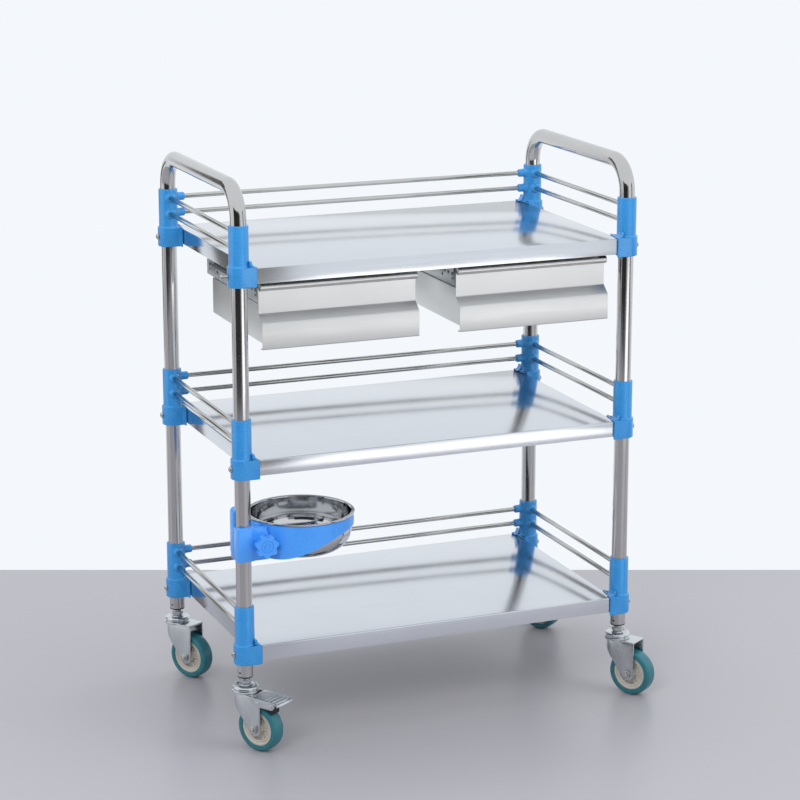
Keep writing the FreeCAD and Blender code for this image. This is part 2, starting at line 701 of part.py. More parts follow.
def make_drawer(side):
    """Box, folded front and the three members of each slide, for one drawer.

    Modelled for the left drawer, from its inner side outwards, then mirrored."""
    left = "(-box_x - drawer_width)"
    inner_y = "(lower_panel_y + sheet_metal)"
    body = doc.addObject("PartDesign::Body", f"drawer_{side}_shell")
    sketch = sketch_in(body, "YZ_Plane", "side_outline", left)
    outline(sketch, [(inner_y, "box_bottom"), (inner_y, "ledge_bottom - sheet_metal / 2"),
                     ("upper_panel_y + sheet_metal", "ledge_top - sheet_metal / 2"),
                     ("upper_panel_y + sheet_metal", "box_side_top"),
                     ("box_back", "box_side_top"), ("box_back", "box_bottom")])
    pad(body, sketch, "drawer_width")
    upstand = box((f"{left} + step_width", "upper_panel_y + sheet_metal", "box_side_top"),
                  ("drawer_width - 2 * step_width", "box_depth - sheet_metal",
                   "box_rim_top - box_side_top"))
    well = box((f"{left} + sheet_metal", "lower_panel_y - sheet_metal", "box_bottom + sheet_metal"),
               ("drawer_width - 2 * sheet_metal",
                "box_depth + lower_panel_lead",
                "box_side_top - box_bottom - 2 * sheet_metal"))
    mouth = box((f"{left} + step_width + sheet_metal", "lower_panel_y - sheet_metal",
                 "box_side_top - 2 * sheet_metal"),
                ("drawer_width - 2 * (step_width + sheet_metal)",
                 "box_depth + lower_panel_lead", "2 * slide_height"))
    drawer_box = cut(fuse(body, upstand), well, mouth)

    front = doc.addObject("PartDesign::Body", f"drawer_{side}_panel")
    sketch = sketch_in(front, "YZ_Plane", "front_outline", left)
    grip_z = "(grip_top - grip_dia / 2)"
    outline(sketch, [
        ("lower_panel_y", "front_bottom"), ("lower_panel_y", "ledge_bottom"),
        ("upper_panel_y", "ledge_top"), ("upper_panel_y", grip_z),
        ("upper_panel_y + sheet_metal", grip_z),
        ("upper_panel_y + sheet_metal", "ledge_top - sheet_metal / 2"),
        (inner_y, "ledge_bottom - sheet_metal / 2"), (inner_y, "front_bottom + sheet_metal"),
        (f"{inner_y} + front_hem", "front_bottom + sheet_metal"),
        (f"{inner_y} + front_hem", "front_bottom")])
    pad(front, sketch, "drawer_width")
    grip = rod("x", (left, "upper_panel_y + sheet_metal - grip_dia / 2", grip_z), "grip_dia",
               "drawer_width")
    hollow = rod("x", (left, "upper_panel_y + sheet_metal - grip_dia / 2", grip_z),
                 "grip_dia - 2 * sheet_metal", "drawer_width")
    drawer_front = cut(fuse(front, grip), hollow)

    fixed, middle, inner = [], [], []
    for mirror in (False, True):
        outer_x = f"({left} + slide_gap)"
        far = f"({left} + drawer_width - slide_gap)"

        def across(start, length):
            return f"{far} - ({start}) - ({length})" if mirror else f"{outer_x} + {start}"

        top = "(slide_bottom + slide_height)"
        web = box((across("0", "slide_wall"), "slide_start_y", "slide_bottom"),
                  ("slide_wall", "slide_length", "slide_height"))
        lips = [box((across("0", "slide_lip"), "slide_start_y", z),
                    ("slide_lip", "slide_length", "slide_wall"))
                for z in ("slide_bottom", f"{top} - slide_wall")]
        hangers = []
        for y in ("slide_start_y + hanger_inset",
                  "slide_start_y + slide_length - hanger_inset - hanger_length"):
            hangers.append(box((across("0", "slide_wall"), y, f"{top} - slide_wall"),
                               ("slide_wall", "hanger_length",
                                f"top_shelf - sheet_metal - {top} + slide_wall")))
            hangers.append(box((across("0", "hanger_flange"), y,
                                "top_shelf - sheet_metal - slide_wall"),
                               ("hanger_flange", "hanger_length", "slide_wall")))
        fixed.append(fuse(web, *lips, *hangers))
        middle_web = box((across("slide_wall + 2 * slide_gap", "slide_wall"),
                          "slide_start_y", "slide_bottom + slide_wall + 2 * slide_gap"),
                         ("slide_wall", "slide_length",
                          "slide_height - 2 * slide_wall - 4 * slide_gap"))
        middle_lips = [box((across("slide_wall + 2 * slide_gap", "middle_lip"),
                            "slide_start_y", z),
                           ("middle_lip", "slide_length", "slide_wall"))
                       for z in ("slide_bottom + slide_wall + 2 * slide_gap",
                                 f"{top} - 2 * slide_wall - 2 * slide_gap")]
        middle.append(fuse(middle_web, *middle_lips))
        inner.append(box((across("2 * slide_wall + 4 * slide_gap",
                                 "slide_thick + slide_gap - 2 * slide_wall - 4 * slide_gap"),
                          "slide_start_y", "slide_bottom + 2 * slide_wall + 4 * slide_gap"),
                         ("slide_thick + slide_gap - 2 * slide_wall - 4 * slide_gap",
                          "slide_length", "slide_height - 4 * slide_wall - 8 * slide_gap")))
    pieces = [(drawer_box, "box"), (drawer_front, "front"),
              (group(f"slides_{side}_fixed", fixed), "slide_rails"),
              (group(f"slides_{side}_middle", middle), "slide_middles"),
              (group(f"slides_{side}_inner", inner), "slide_runners")]
    for piece, label in pieces:
        if side == "right":
            piece = mirrored(piece, f"drawer_right_{label}")
        finished(piece, f"drawer_{side}_{label}")


def make_bowl_holder():
    """Ring, jaw, knob and bowl, in the frame of the post that they hang on."""
    post = ("-post_x", "-post_y", "0")

    def post_bore():
        return rod("z", ("0", "0", "0"), "tube_dia + 2 * slip_fit", "2 * ring_top")

    neck_y = "(-flap_front - knob_neck_height - clamp_split)"

    def screw_bore():
        return rod("y", ("knob_offset", neck_y, "clamp_height"),
                   "knob_screw + 2 * slip_fit", "knob_screw_length + slip_fit")

    def round_ring(dia, start):
        return rod("z", ("ring_offset_x", "ring_offset_y", start), dia, "2 * ring_top")

    fixed_half = box(("-clamp_side", "clamp_split", "clamp_bottom"),
                     ("clamp_side + ring_offset_x - ring_bore / 2 + link_lap",
                      "clamp_back - clamp_split",
                      "ring_top - clamp_bottom"))
    lug = box(("-clamp_side", "clamp_split", "clamp_bottom"),
              ("clamp_side", "clamp_back - clamp_split", "lug_top - clamp_bottom"))
    boss = box(("clamp_side + clamp_split", "clamp_split + jaw_flap - flap_front", "clamp_bottom"),
               ("clamp_right - clamp_side", "flap_front - jaw_flap", "ring_top - clamp_bottom"))
    band = rod("z", ("ring_offset_x", "ring_offset_y", "clamp_bottom"),
               "ring_bore + 2 * ring_wall", "ring_top - clamp_bottom")
    slope = doc.addObject("PartDesign::Body", "ring_slope")
    sketch = sketch_in(slope, "XZ_Plane", "slope_outline")
    ring_end = "ring_offset_x + ring_bore"
    slope_x = "ring_offset_x - ring_slope_start"
    outline(sketch, [(slope_x, "clamp_bottom - clamp_side"),
                     (slope_x, "clamp_bottom"),
                     ("ring_offset_x + ring_bore / 2", "ring_top - ring_far_height"),
                     (ring_end, "ring_top - ring_far_height"),
                     (ring_end, "clamp_bottom - clamp_side")])
    pad(slope, sketch, "2 * ring_bore", midplane=True)
    ring = cut(fuse(fixed_half, lug, boss, cut(band, slope)),
               round_ring("ring_bore", "0"), post_bore(), screw_bore())
    place(ring, post)
    finished(ring, "bowl_ring")

    jaw_block = box(("-clamp_side", "-jaw_front", "clamp_bottom"),
                    ("2 * clamp_side", "jaw_front - clamp_split", "clamp_tall"))
    flap = box(("0", "-flap_front", "clamp_bottom"), ("clamp_right", "jaw_flap", "clamp_tall"))
    ring_room = round_ring("ring_bore + 2 * ring_wall + 2 * clamp_split", "0")
    jaw = cut(fuse(jaw_block, flap), post_bore(), screw_bore(), ring_room)
    place(jaw, post)
    finished(jaw, "bowl_clamp_jaw")

    disc_y = f"{neck_y} - knob_thick"
    neck = rod("y", ("knob_offset", neck_y, "clamp_height"), "knob_neck", "knob_neck_height")
    disc = rod("y", ("knob_offset", disc_y, "clamp_height"), "knob_core", "knob_thick")
    lobes = []
    for step in range(int(size("knob_lobes"))):
        turn = f"{step} * 360 / knob_lobes"
        lobes.append(rod("y", (f"knob_offset + (knob_dia - knob_lobe) / 2 * cos({turn})",
                               disc_y,
                               f"clamp_height + (knob_dia - knob_lobe) / 2 * sin({turn})"),
                         "knob_lobe", "knob_thick"))
    screw = rod("y", ("knob_offset", neck_y, "clamp_height"), "knob_screw",
                "knob_screw_length")
    knob = fuse(disc, neck, screw, *lobes)
    place(knob, post)
    finished(knob, "bowl_clamp_knob")

    wall_r = "(ring_bore / 2 - bowl_fit)"
    rim_z = "(ring_top + bowl_fit)"
    base_r = "bowl_base_dia / 2"
    curve = f"({wall_r} - {base_r})"
    turns_of_wall = (0, 30, 55, 75, 90)
    outer = [(f"{base_r} + {curve} * sin({turn})",
              f"bowl_bottom + {curve} * bowl_flatness * (1 - cos({turn}))")
             for turn in turns_of_wall]
    inner = [(f"{base_r} - bowl_wall / 2 + ({curve} - bowl_wall / 2) * sin({turn})",
              f"bowl_bottom + bowl_wall + {curve} * bowl_flatness * (1 - cos({turn}))")
             for turn in reversed(turns_of_wall)]
    bowl = spun("bowl_shell", [
        ("0", "bowl_bottom"), *outer, (wall_r, rim_z),
        ("bowl_rim_dia / 2", rim_z), ("bowl_rim_dia / 2", f"{rim_z} + bowl_rim_thick"),
        (f"{wall_r} - bowl_wall", f"{rim_z} + bowl_rim_thick"), *inner,
        ("0", "bowl_bottom + bowl_wall")])
    bind_base(bowl, ("ring_offset_x", "ring_offset_y", "0"))
    on_ring = group("bowl_place", [bowl])
    place(on_ring, post)
    finished(on_ring, "bowl")


def make_cart():
    for side in sides:
        make_frame(side)
    for name, level in levels.items():
        make_shelf(name, level)
        make_rails(name, level)
        for end in ends:
            make_bracket(end, name, level)
    make_screws()
    make_plugs()
    for end, side in corners_of_cart:
        make_caster(end, side)
    for end, side in braked_corners:
        make_brake(end, side)
    for side in sides:
        make_drawer(side)
    make_bowl_holder()


def check_and_write():
    doc.recompute()
    failed = [obj.Label for obj in doc.Objects
              if "Invalid" in obj.State or "Error" in obj.State]
    if failed:
        raise RuntimeError("failed to compute: " + ", ".join(failed))
    for part in sub_parts:
        if part.Shape.isNull() or not part.Shape.isValid() or not part.Shape.Solids:
            raise RuntimeError("bad shape: " + part.Label)
    os.makedirs("parts", exist_ok=True)
    for part in sub_parts:
        part.Shape.exportStep(f"parts/{part.Label}.step")
        print(f"{part.Label}: {len(part.Shape.Solids)} solid(s), "
              f"{part.Shape.Volume / 1000:.1f} cm3")


make_cart()
check_and_write()
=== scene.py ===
import bmesh
import bpy
import math
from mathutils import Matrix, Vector


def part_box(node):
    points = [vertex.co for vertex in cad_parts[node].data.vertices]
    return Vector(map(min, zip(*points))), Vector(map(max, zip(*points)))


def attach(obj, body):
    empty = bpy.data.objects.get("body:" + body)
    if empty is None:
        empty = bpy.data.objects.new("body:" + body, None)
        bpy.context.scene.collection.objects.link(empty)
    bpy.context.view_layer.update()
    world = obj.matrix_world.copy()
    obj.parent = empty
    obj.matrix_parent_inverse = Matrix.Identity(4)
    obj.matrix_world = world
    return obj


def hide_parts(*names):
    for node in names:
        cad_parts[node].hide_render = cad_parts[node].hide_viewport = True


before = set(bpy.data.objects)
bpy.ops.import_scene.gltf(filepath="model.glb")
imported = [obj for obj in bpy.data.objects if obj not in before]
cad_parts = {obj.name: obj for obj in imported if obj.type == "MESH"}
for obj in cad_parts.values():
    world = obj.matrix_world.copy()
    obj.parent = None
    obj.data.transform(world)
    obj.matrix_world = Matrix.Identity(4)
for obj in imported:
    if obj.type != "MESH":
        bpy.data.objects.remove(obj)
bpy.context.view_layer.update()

# Instrument cart: bent stainless frames, sheet shelves, blue moulded corners, two drawers
# and a bowl in a clamp-on ring. Lengths below are in millimetres, as in the CAD.

mm = 0.001
sides = {"left": -1, "right": 1}
ends = {"front": -1, "back": 1}
levels = ("bottom", "middle", "top")
corners = [(end, side) for end in ends for side in sides]


# Looking things up in the CAD

def boxOf(node):                             # a CAD node's lowest and highest corners in mm
    low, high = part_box(node)
    return Vector(low) / mm, Vector(high) / mm


tubeLow, tubeHigh = boxOf("frame_right")
tubeRadius = (tubeHigh.x - tubeLow.x) / 2
postX = tubeHigh.x - tubeRadius
postY = tubeHigh.y - tubeRadius
shelfTops = {level: boxOf(f"shelf_{level}")[1].z for level in levels}


# Working in object and edit mode

def pickOnly(*pieces):
    for other in list(bpy.context.selected_objects):
        other.select_set(False)
    for piece in pieces:
        piece.select_set(True)
    bpy.context.view_layer.objects.active = pieces[0]


def enterEdit(piece):
    pickOnly(piece)
    bpy.ops.object.mode_set(mode="EDIT")
    bpy.ops.mesh.select_mode(type="VERT")
    bpy.ops.mesh.select_all(action="SELECT")


def leaveEdit():
    bpy.ops.object.mode_set(mode="OBJECT")


def pick(kind, test):                        # select by middle in mm and by direction
    mesh = bmesh.from_edit_mesh(bpy.context.active_object.data)
    bpy.ops.mesh.select_all(action="DESELECT")
    bpy.ops.mesh.select_mode(type=kind)
    if kind == "FACE":
        for face in mesh.faces:
            face.select = bool(test(face.calc_center_median() / mm, face.normal))
    elif kind == "EDGE":
        for edge in mesh.edges:
            a, b = (corner.co for corner in edge.verts)
            edge.select = bool(test((a + b) / 2 / mm, (b - a).normalized()))
    else:
        for corner in mesh.verts:
            corner.select = bool(test(corner.co / mm, corner.normal))
    mesh.select_flush_mode()
    bmesh.update_edit_mesh(bpy.context.active_object.data)


def applyPlace(piece):
    pickOnly(piece)
    bpy.ops.object.transform_apply(location=True, rotation=True, scale=True)
    return piece


def faceOutwards(piece):
    enterEdit(piece)
    bpy.ops.mesh.remove_doubles(threshold=0.002 * mm)
    bpy.ops.mesh.normals_make_consistent(inside=False)
    leaveEdit()
    return piece


def newBox(low, high):
    middle = [(a + b) / 2 * mm for a, b in zip(low, high)]
    bpy.ops.mesh.primitive_cube_add(size=1, location=middle)
    piece = bpy.context.active_object
    piece.scale = [(b - a) * mm for a, b in zip(low, high)]
    return applyPlace(piece)


def newRod(start, end, radius, rim=48):      # a cylinder between two points
    start, end = Vector(start) * mm, Vector(end) * mm
    turn = (end - start).to_track_quat("Z", "Y").to_euler()
    bpy.ops.mesh.primitive_cylinder_add(vertices=rim, radius=radius * mm,
                                        depth=(end - start).length,
                                        location=(start + end) / 2, rotation=turn)
    return applyPlace(bpy.context.active_object)


pointRadius = 0.01                           # stands for a radius of nothing


def newTurned(profile, rim=64, closed=False):    # turned about Z from (radius, height) steps
    profile = [(max(radius, pointRadius), height) for radius, height in profile]
    radius, height = profile[0]
    bpy.ops.mesh.primitive_circle_add(vertices=rim, radius=radius * mm,
                                      location=(0, 0, height * mm))
    piece = applyPlace(bpy.context.active_object)
    enterEdit(piece)
    steps = profile[1:] + (profile[:1] if closed else [])
    for nextRadius, nextHeight in steps:
        bpy.ops.mesh.extrude_edges_move(
            TRANSFORM_OT_translate={"value": (0, 0, (nextHeight - height) * mm)})
        grow = nextRadius / radius
        bpy.ops.transform.resize(value=(grow, grow, 1),
                                 center_override=(0, 0, nextHeight * mm))
        radius, height = nextRadius, nextHeight
    if not closed:
        bpy.ops.mesh.edge_face_add()
        firstRadius, firstHeight = profile[0]
        pick("VERT", lambda at, way: abs(at.z - firstHeight) < 1e-3
             and abs(at.to_2d().length - firstRadius) < 1e-3)
        bpy.ops.mesh.edge_face_add()
    leaveEdit()
    return faceOutwards(piece)


def newLine(points, height):                 # a chain of edges in plan, left in edit mode
    bpy.ops.mesh.primitive_plane_add(size=mm)
    piece = bpy.context.active_object
    enterEdit(piece)
    bpy.ops.mesh.merge(type="CENTER")
    bpy.ops.transform.translate(value=(points[0][0] * mm, points[0][1] * mm, height * mm))
    for (x0, y0), (x1, y1) in zip(points, points[1:]):
        bpy.ops.mesh.extrude_vertices_move(
            TRANSFORM_OT_translate={"value": ((x1 - x0) * mm, (y1 - y0) * mm, 0)})
    bpy.ops.mesh.select_all(action="SELECT")
    return piece


def extrudeUp(height):
    bpy.ops.mesh.extrude_region_move(
        TRANSFORM_OT_translate={"value": (0, 0, height * mm)})


def newPlate(outline, low, high, rounds=()):     # an outline drawn in plan, then thickened
    piece = newLine(outline, low)
    bpy.ops.mesh.edge_face_add()
    for (x, y), radius in rounds:
        pick("VERT", lambda at, way: abs(at.x - x) < 0.01 and abs(at.y - y) < 0.01)
        bpy.ops.mesh.bevel(offset=radius * mm, segments=6, affect="VERTICES")
    bpy.ops.mesh.select_mode(type="VERT")
    bpy.ops.mesh.select_all(action="SELECT")
    extrudeUp(high - low)
    leaveEdit()
    return faceOutwards(piece)


def turned(piece, turn, at=(0, 0, 0)):       # degrees about X, Y and Z, then a place in mm
    piece.rotation_euler = [math.radians(angle) for angle in turn]
    piece.location = [part * mm for part in at]
    return applyPlace(piece)


standings = {"XZ": (90, 0, 0), "YZ": (90, 0, 90)}


def stand(piece, plane):                     # turns a plan outline up: XZ thickens towards -Y
    return turned(piece, standings[plane])


def placed(piece, at=(0, 0, 0), turn=0.0, flip=(1, 1)):
    piece.scale = (flip[0], flip[1], 1)
    piece.rotation_euler = (0, 0, math.radians(turn))
    piece.location = Vector(at) * mm
    applyPlace(piece)
    return faceOutwards(piece) if flip[0] * flip[1] < 0 else piece


def copied(piece):
    pickOnly(piece)
    bpy.ops.object.duplicate(linked=False)
    return bpy.context.active_object


def joined(*pieces):
    pickOnly(*pieces)
    bpy.ops.object.join()
    return bpy.context.active_object


def discard(*pieces):
    for piece in pieces:
        bpy.data.objects.remove(piece)


def withModifier(piece, kind, **values):
    pickOnly(piece)
    modifier = piece.modifiers.new("shape", kind)
    for name, value in values.items():
        setattr(modifier, name, value)
    bpy.ops.object.modifier_apply(modifier=modifier.name)
    return piece


def rounded(piece, width, segments=3, angle=35):
    return withModifier(piece, "BEVEL", width=width * mm, segments=segments,
                        limit_method="ANGLE", angle_limit=math.radians(angle))


def combined(piece, others, how):
    for other in others:
        withModifier(piece, "BOOLEAN", object=other, operation=how, solver="EXACT")
        discard(other)
    return piece


def welded(piece, *others):
    return combined(piece, others, "UNION")


def carved(piece, *others):
    return combined(piece, others, "DIFFERENCE")


def finished(piece, name, body, nodes, material, smooth=32):
    piece.name = name
    piece.data.name = name
    piece.data.materials.clear()
    piece.data.materials.append(material)
    pickOnly(piece)
    bpy.ops.object.shade_smooth_by_angle(angle=math.radians(smooth))
    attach(piece, body)
    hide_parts(*nodes)
    return piece


# Materials

def colour(text):                            # an sRGB hex colour as linear RGBA
    parts = [int(text[i:i + 2], 16) / 255 for i in (1, 3, 5)]
    linear = [c / 12.92 if c <= 0.04045 else ((c + 0.055) / 1.055) ** 2.4 for c in parts]
    return (*linear, 1.0)


def addNode(tree, kind, settings=None, links=None):
    node = tree.nodes.new(kind)
    for name, value in (settings or {}).items():
        if hasattr(node, name):
            setattr(node, name, value)
        else:
            node.inputs[name].default_value = value
    for name, source in (links or {}).items():
        tree.links.new(source, node.inputs[name])
    return node


def newMaterial(name):
    material = bpy.data.materials.new(name)
    material.use_nodes = True
    tree = material.node_tree
    tree.nodes.clear()
    shader = addNode(tree, "ShaderNodeBsdfPrincipled")
    output = addNode(tree, "ShaderNodeOutputMaterial")
    tree.links.new(shader.outputs["BSDF"], output.inputs["Surface"])
    place = addNode(tree, "ShaderNodeTexCoord")
    return material, tree, shader, place.outputs["Object"]


# Colour between dark and light, roughness between smooth and rough, and relief.
def paint(tree, shader, look, depth, tintBy, sheenBy, bumpBy):
    tint = addNode(tree, "ShaderNodeMix", {"data_type": "RGBA"}, {"Factor": tintBy})
    tint.inputs["A"].default_value = colour(look["dark"])
    tint.inputs["B"].default_value = colour(look["light"])
    sheen = addNode(tree, "ShaderNodeMapRange",
                    {"From Min": 0.3, "From Max": 0.7, "To Min": look["smooth"],
                     "To Max": look["rough"]}, {"Value": sheenBy})
    bump = addNode(tree, "ShaderNodeBump",
                   {"Strength": look["bump"], "Distance": depth * mm}, {"Height": bumpBy})
    tree.links.new(tint.outputs["Result"], shader.inputs["Base Color"])
    tree.links.new(sheen.outputs["Result"], shader.inputs["Roughness"])
    tree.links.new(bump.outputs["Normal"], shader.inputs["Normal"])


# A metal worked in one direction: fine lines along it, broad cloudy variation in its sheen.
def workedMetal(name, look):
    material, tree, shader, where = newMaterial(name)
    line, run = 1 / (look["linePitch"] * mm), 1 / (look["lineRun"] * mm)
    stretch = [run if axis == look["along"] else line for axis in "XYZ"]
    lines = addNode(tree, "ShaderNodeTexNoise", {"Scale": 1.0, "Detail": 3.0}, {
        "Vector": addNode(tree, "ShaderNodeMapping", {"Scale": stretch},
                          {"Vector": where}).outputs["Vector"]})
    clouds = addNode(tree, "ShaderNodeTexNoise",
                     {"Scale": 1 / (look["cloudSize"] * mm), "Detail": 4.0}, {"Vector": where})
    both = addNode(tree, "ShaderNodeMix", {"data_type": "FLOAT", "Factor": 0.4},
                   {"A": lines.outputs["Fac"], "B": clouds.outputs["Fac"]})
    shader.inputs["Metallic"].default_value = 1.0
    paint(tree, shader, look, look["lineDepth"], both.outputs["Result"],
          both.outputs["Result"], lines.outputs["Fac"])
    return material


# Stainless tube, polished lengthways: near mirror, long faint draw lines.
polishedTube = workedMetal("polishedStainlessTube", {
    "along": "Z", "linePitch": 1.2, "lineRun": 90.0, "cloudSize": 60.0, "smooth": 0.07,
    "rough": 0.17, "dark": "#B9B7B6", "light": "#D8D7D6", "bump": 0.12, "lineDepth": 0.02})
# Thin stainless rod for the rails: bright, with draw lines along the cart.
brightRod = workedMetal("brightDrawnStainlessRod", {
    "along": "X", "linePitch": 0.9, "lineRun": 60.0, "cloudSize": 40.0, "smooth": 0.10,
    "rough": 0.20, "dark": "#BDBBB8", "light": "#DAD9D7", "bump": 0.1, "lineDepth": 0.02})
# Shelf sheet, belt ground lengthways and then buffed: soft streaky reflections. The real
# grind is finer than half a millimetre, drawn here as coarse as it needs to show.
shelfSheet = workedMetal("beltGroundStainlessSheet", {
    "along": "X", "linePitch": 1.6, "lineRun": 140.0, "cloudSize": 130.0, "smooth": 0.10,
    "rough": 0.17, "dark": "#CDD0D6", "light": "#E2E5EA", "bump": 0.07, "lineDepth": 0.02})
# Drawer sheet, the same grind but duller, so the fronts stay evenly pale.
drawerSheet = workedMetal("satinStainlessSheet", {
    "along": "X", "linePitch": 1.4, "lineRun": 110.0, "cloudSize": 90.0, "smooth": 0.27,
    "rough": 0.38, "dark": "#CFCFCE", "light": "#E2E2E1", "bump": 0.14, "lineDepth": 0.03})
# Slide channels: galvanised strip, a little duller and mottled.
galvanised = workedMetal("galvanisedPressedSteel", {
    "along": "Y", "linePitch": 2.5, "lineRun": 18.0, "cloudSize": 9.0, "smooth": 0.24,
    "rough": 0.42, "dark": "#9DA1A4", "light": "#C4C7C9", "bump": 0.2, "lineDepth": 0.04})
# Caster forks: bright zinc plate over pressed steel, slightly blue and a little uneven.
zincPlate = workedMetal("brightZincPlatedSteel", {
    "along": "Z", "linePitch": 3.0, "lineRun": 12.0, "cloudSize": 14.0, "smooth": 0.16,
    "rough": 0.30, "dark": "#BFC5C9", "light": "#E3E6E7", "bump": 0.15, "lineDepth": 0.05})
# Screws, nuts and axles: bright plated turned steel.
platedSteel = workedMetal("brightPlatedTurnedSteel", {
    "along": "X", "linePitch": 0.8, "lineRun": 6.0, "cloudSize": 5.0, "smooth": 0.12,
    "rough": 0.26, "dark": "#B4B5B5", "light": "#DDDDDC", "bump": 0.12, "lineDepth": 0.02})


# Spun stainless, mirror polished: faint circles round the bowl's axis.
def makeSpunSteel():
    material, tree, shader, where = newMaterial("spunMirrorStainless")
    low, high = boxOf("bowl")
    axis = addNode(tree, "ShaderNodeMapping",
                   {"Location": (-(low.x + high.x) / 2 * mm, -(low.y + high.y) / 2 * mm, 0)},
                   {"Vector": where})
    flat = addNode(tree, "ShaderNodeVectorMath",
                   {"operation": "MULTIPLY"}, {0: axis.outputs["Vector"]})
    flat.inputs[1].default_value = (1, 1, 0)
    distance = addNode(tree, "ShaderNodeVectorMath", {"operation": "LENGTH"},
                       {0: flat.outputs["Vector"]})
    circles = addNode(tree, "ShaderNodeTexNoise",
                      {"noise_dimensions": "1D", "Scale": 1 / (1.5 * mm), "Detail": 3.0},
                      {"W": distance.outputs["Value"]})
    sheen = addNode(tree, "ShaderNodeMapRange", {"To Min": 0.05, "To Max": 0.13},
                    {"Value": circles.outputs["Fac"]})
    bump = addNode(tree, "ShaderNodeBump", {"Strength": 0.08, "Distance": 0.02 * mm},
                   {"Height": circles.outputs["Fac"]})
    shader.inputs["Metallic"].default_value = 1.0
    shader.inputs["Base Color"].default_value = colour("#D0D1D3")
    tree.links.new(sheen.outputs["Result"], shader.inputs["Roughness"])
    tree.links.new(bump.outputs["Normal"], shader.inputs["Normal"])
    return material


spunSteel = makeSpunSteel()


# A moulded or cast plastic: its colour drifts a little, the skin is faintly uneven.
def mouldedPlastic(name, look):
    material, tree, shader, where = newMaterial(name)
    flow = addNode(tree, "ShaderNodeTexNoise",
                   {"Scale": 1 / (look["flowSize"] * mm), "Detail": 3.0, "Distortion": 0.6},
                   {"Vector": where})
    grain = addNode(tree, "ShaderNodeTexNoise",
                    {"Scale": 1 / (look["grainSize"] * mm), "Detail": 2.0}, {"Vector": where})
    shader.inputs["IOR"].default_value = look["ior"]
    shader.inputs["Coat Weight"].default_value = look["coat"]
    shader.inputs["Coat Roughness"].default_value = 0.08
    paint(tree, shader, look, look["grainDepth"], flow.outputs["Fac"],
          grain.outputs["Fac"], grain.outputs["Fac"])
    return material


# Corner brackets: injection-moulded ABS from a polished tool, glossy sky blue.
blueAbs = mouldedPlastic("glossMouldedAbs", {
    "flowSize": 26.0, "grainSize": 2.2, "grainDepth": 0.03, "dark": "#2681C6",
    "light": "#3492D2", "smooth": 0.20, "rough": 0.32, "bump": 0.12, "ior": 1.54,
    "coat": 0.25})
# Bowl holder: the same plastic in a slightly paler batch.
paleBlueAbs = mouldedPlastic("glossMouldedPaleAbs", {
    "flowSize": 40.0, "grainSize": 2.6, "grainDepth": 0.03, "dark": "#3A90EA",
    "light": "#4A9DF2", "smooth": 0.24, "rough": 0.36, "bump": 0.12, "ior": 1.54,
    "coat": 0.2})
# Post plugs and brake shoes: moulded nylon and rubber, dull black.
blackPlastic = mouldedPlastic("dullMouldedNylon", {
    "flowSize": 9.0, "grainSize": 0.9, "grainDepth": 0.05, "dark": "#101112",
    "light": "#1C1D1F", "smooth": 0.45, "rough": 0.62, "bump": 0.25, "ior": 1.53,
    "coat": 0.0})
# Wheel centres: moulded polypropylene, warm grey, waxy.
hubPlastic = mouldedPlastic("waxyMouldedPolypropylene", {
    "flowSize": 14.0, "grainSize": 1.4, "grainDepth": 0.04, "dark": "#AFA99F",
    "light": "#C6C1B8", "smooth": 0.38, "rough": 0.52, "bump": 0.18, "ior": 1.49,
    "coat": 0.0})
# Tyres: cast polyurethane, teal, smooth with a soft gloss and scuffed a little dull.
tyreTeal = mouldedPlastic("castPolyurethaneTread", {
    "flowSize": 12.0, "grainSize": 1.8, "grainDepth": 0.06, "dark": "#1E5E68",
    "light": "#2B7580", "smooth": 0.26, "rough": 0.42, "bump": 0.2, "ior": 1.5,
    "coat": 0.1})
print("materials ready")


# End frames

tube = {"wall": 1.2, "bend": 48.0, "rim": 56, "bendSteps": 16, "hole": 1.7,
        "holeRise": 6.5, "holeTurn": 60}


def makeFrame(side):                         # one tube: post, handle and post again
    x = sides[side] * postX
    foot, top = tubeLow.z, tubeHigh.z - tubeRadius
    bend = tube["bend"]
    bpy.ops.mesh.primitive_circle_add(vertices=tube["rim"], radius=tubeRadius * mm,
                                      location=(x * mm, -postY * mm, foot * mm))
    piece = applyPlace(bpy.context.active_object)
    enterEdit(piece)
    rise = (top - bend - foot) * mm
    bpy.ops.mesh.extrude_edges_move(TRANSFORM_OT_translate={"value": (0, 0, rise)})
    for way in (-1, 1):
        bpy.ops.mesh.spin(steps=tube["bendSteps"], angle=math.radians(90), axis=(1, 0, 0),
                          center=(x * mm, way * (postY - bend) * mm, (top - bend) * mm))
        run = (0, 2 * (postY - bend) * mm, 0) if way < 0 else (0, 0, -rise)
        bpy.ops.mesh.extrude_edges_move(TRANSFORM_OT_translate={"value": run})
    leaveEdit()
    faceOutwards(piece)
    withModifier(piece, "SOLIDIFY", thickness=tube["wall"] * mm, offset=-1)
    drills = []
    for y in (-postY, postY):                # the hole for the caster's grub screw
        reach, turn = 2 * tubeRadius, math.radians(tube["holeTurn"])
        z = foot + tube["holeRise"]
        drills.append(newRod((x, y, z), (x - reach * math.sin(turn),
                                         y - reach * math.cos(turn), z),
                             tube["hole"], 24))
    return carved(piece, *drills)


for side in sides:
    frameTube = makeFrame(side)
    finished(frameTube, f"frameTube{side.title()}", "cart", [f"frame_{side}"],
             polishedTube)
print("frames ready")


# Shelves

shelf = {"edgeRound": 1.6, "sheet": 1.0, "hem": 9.0}


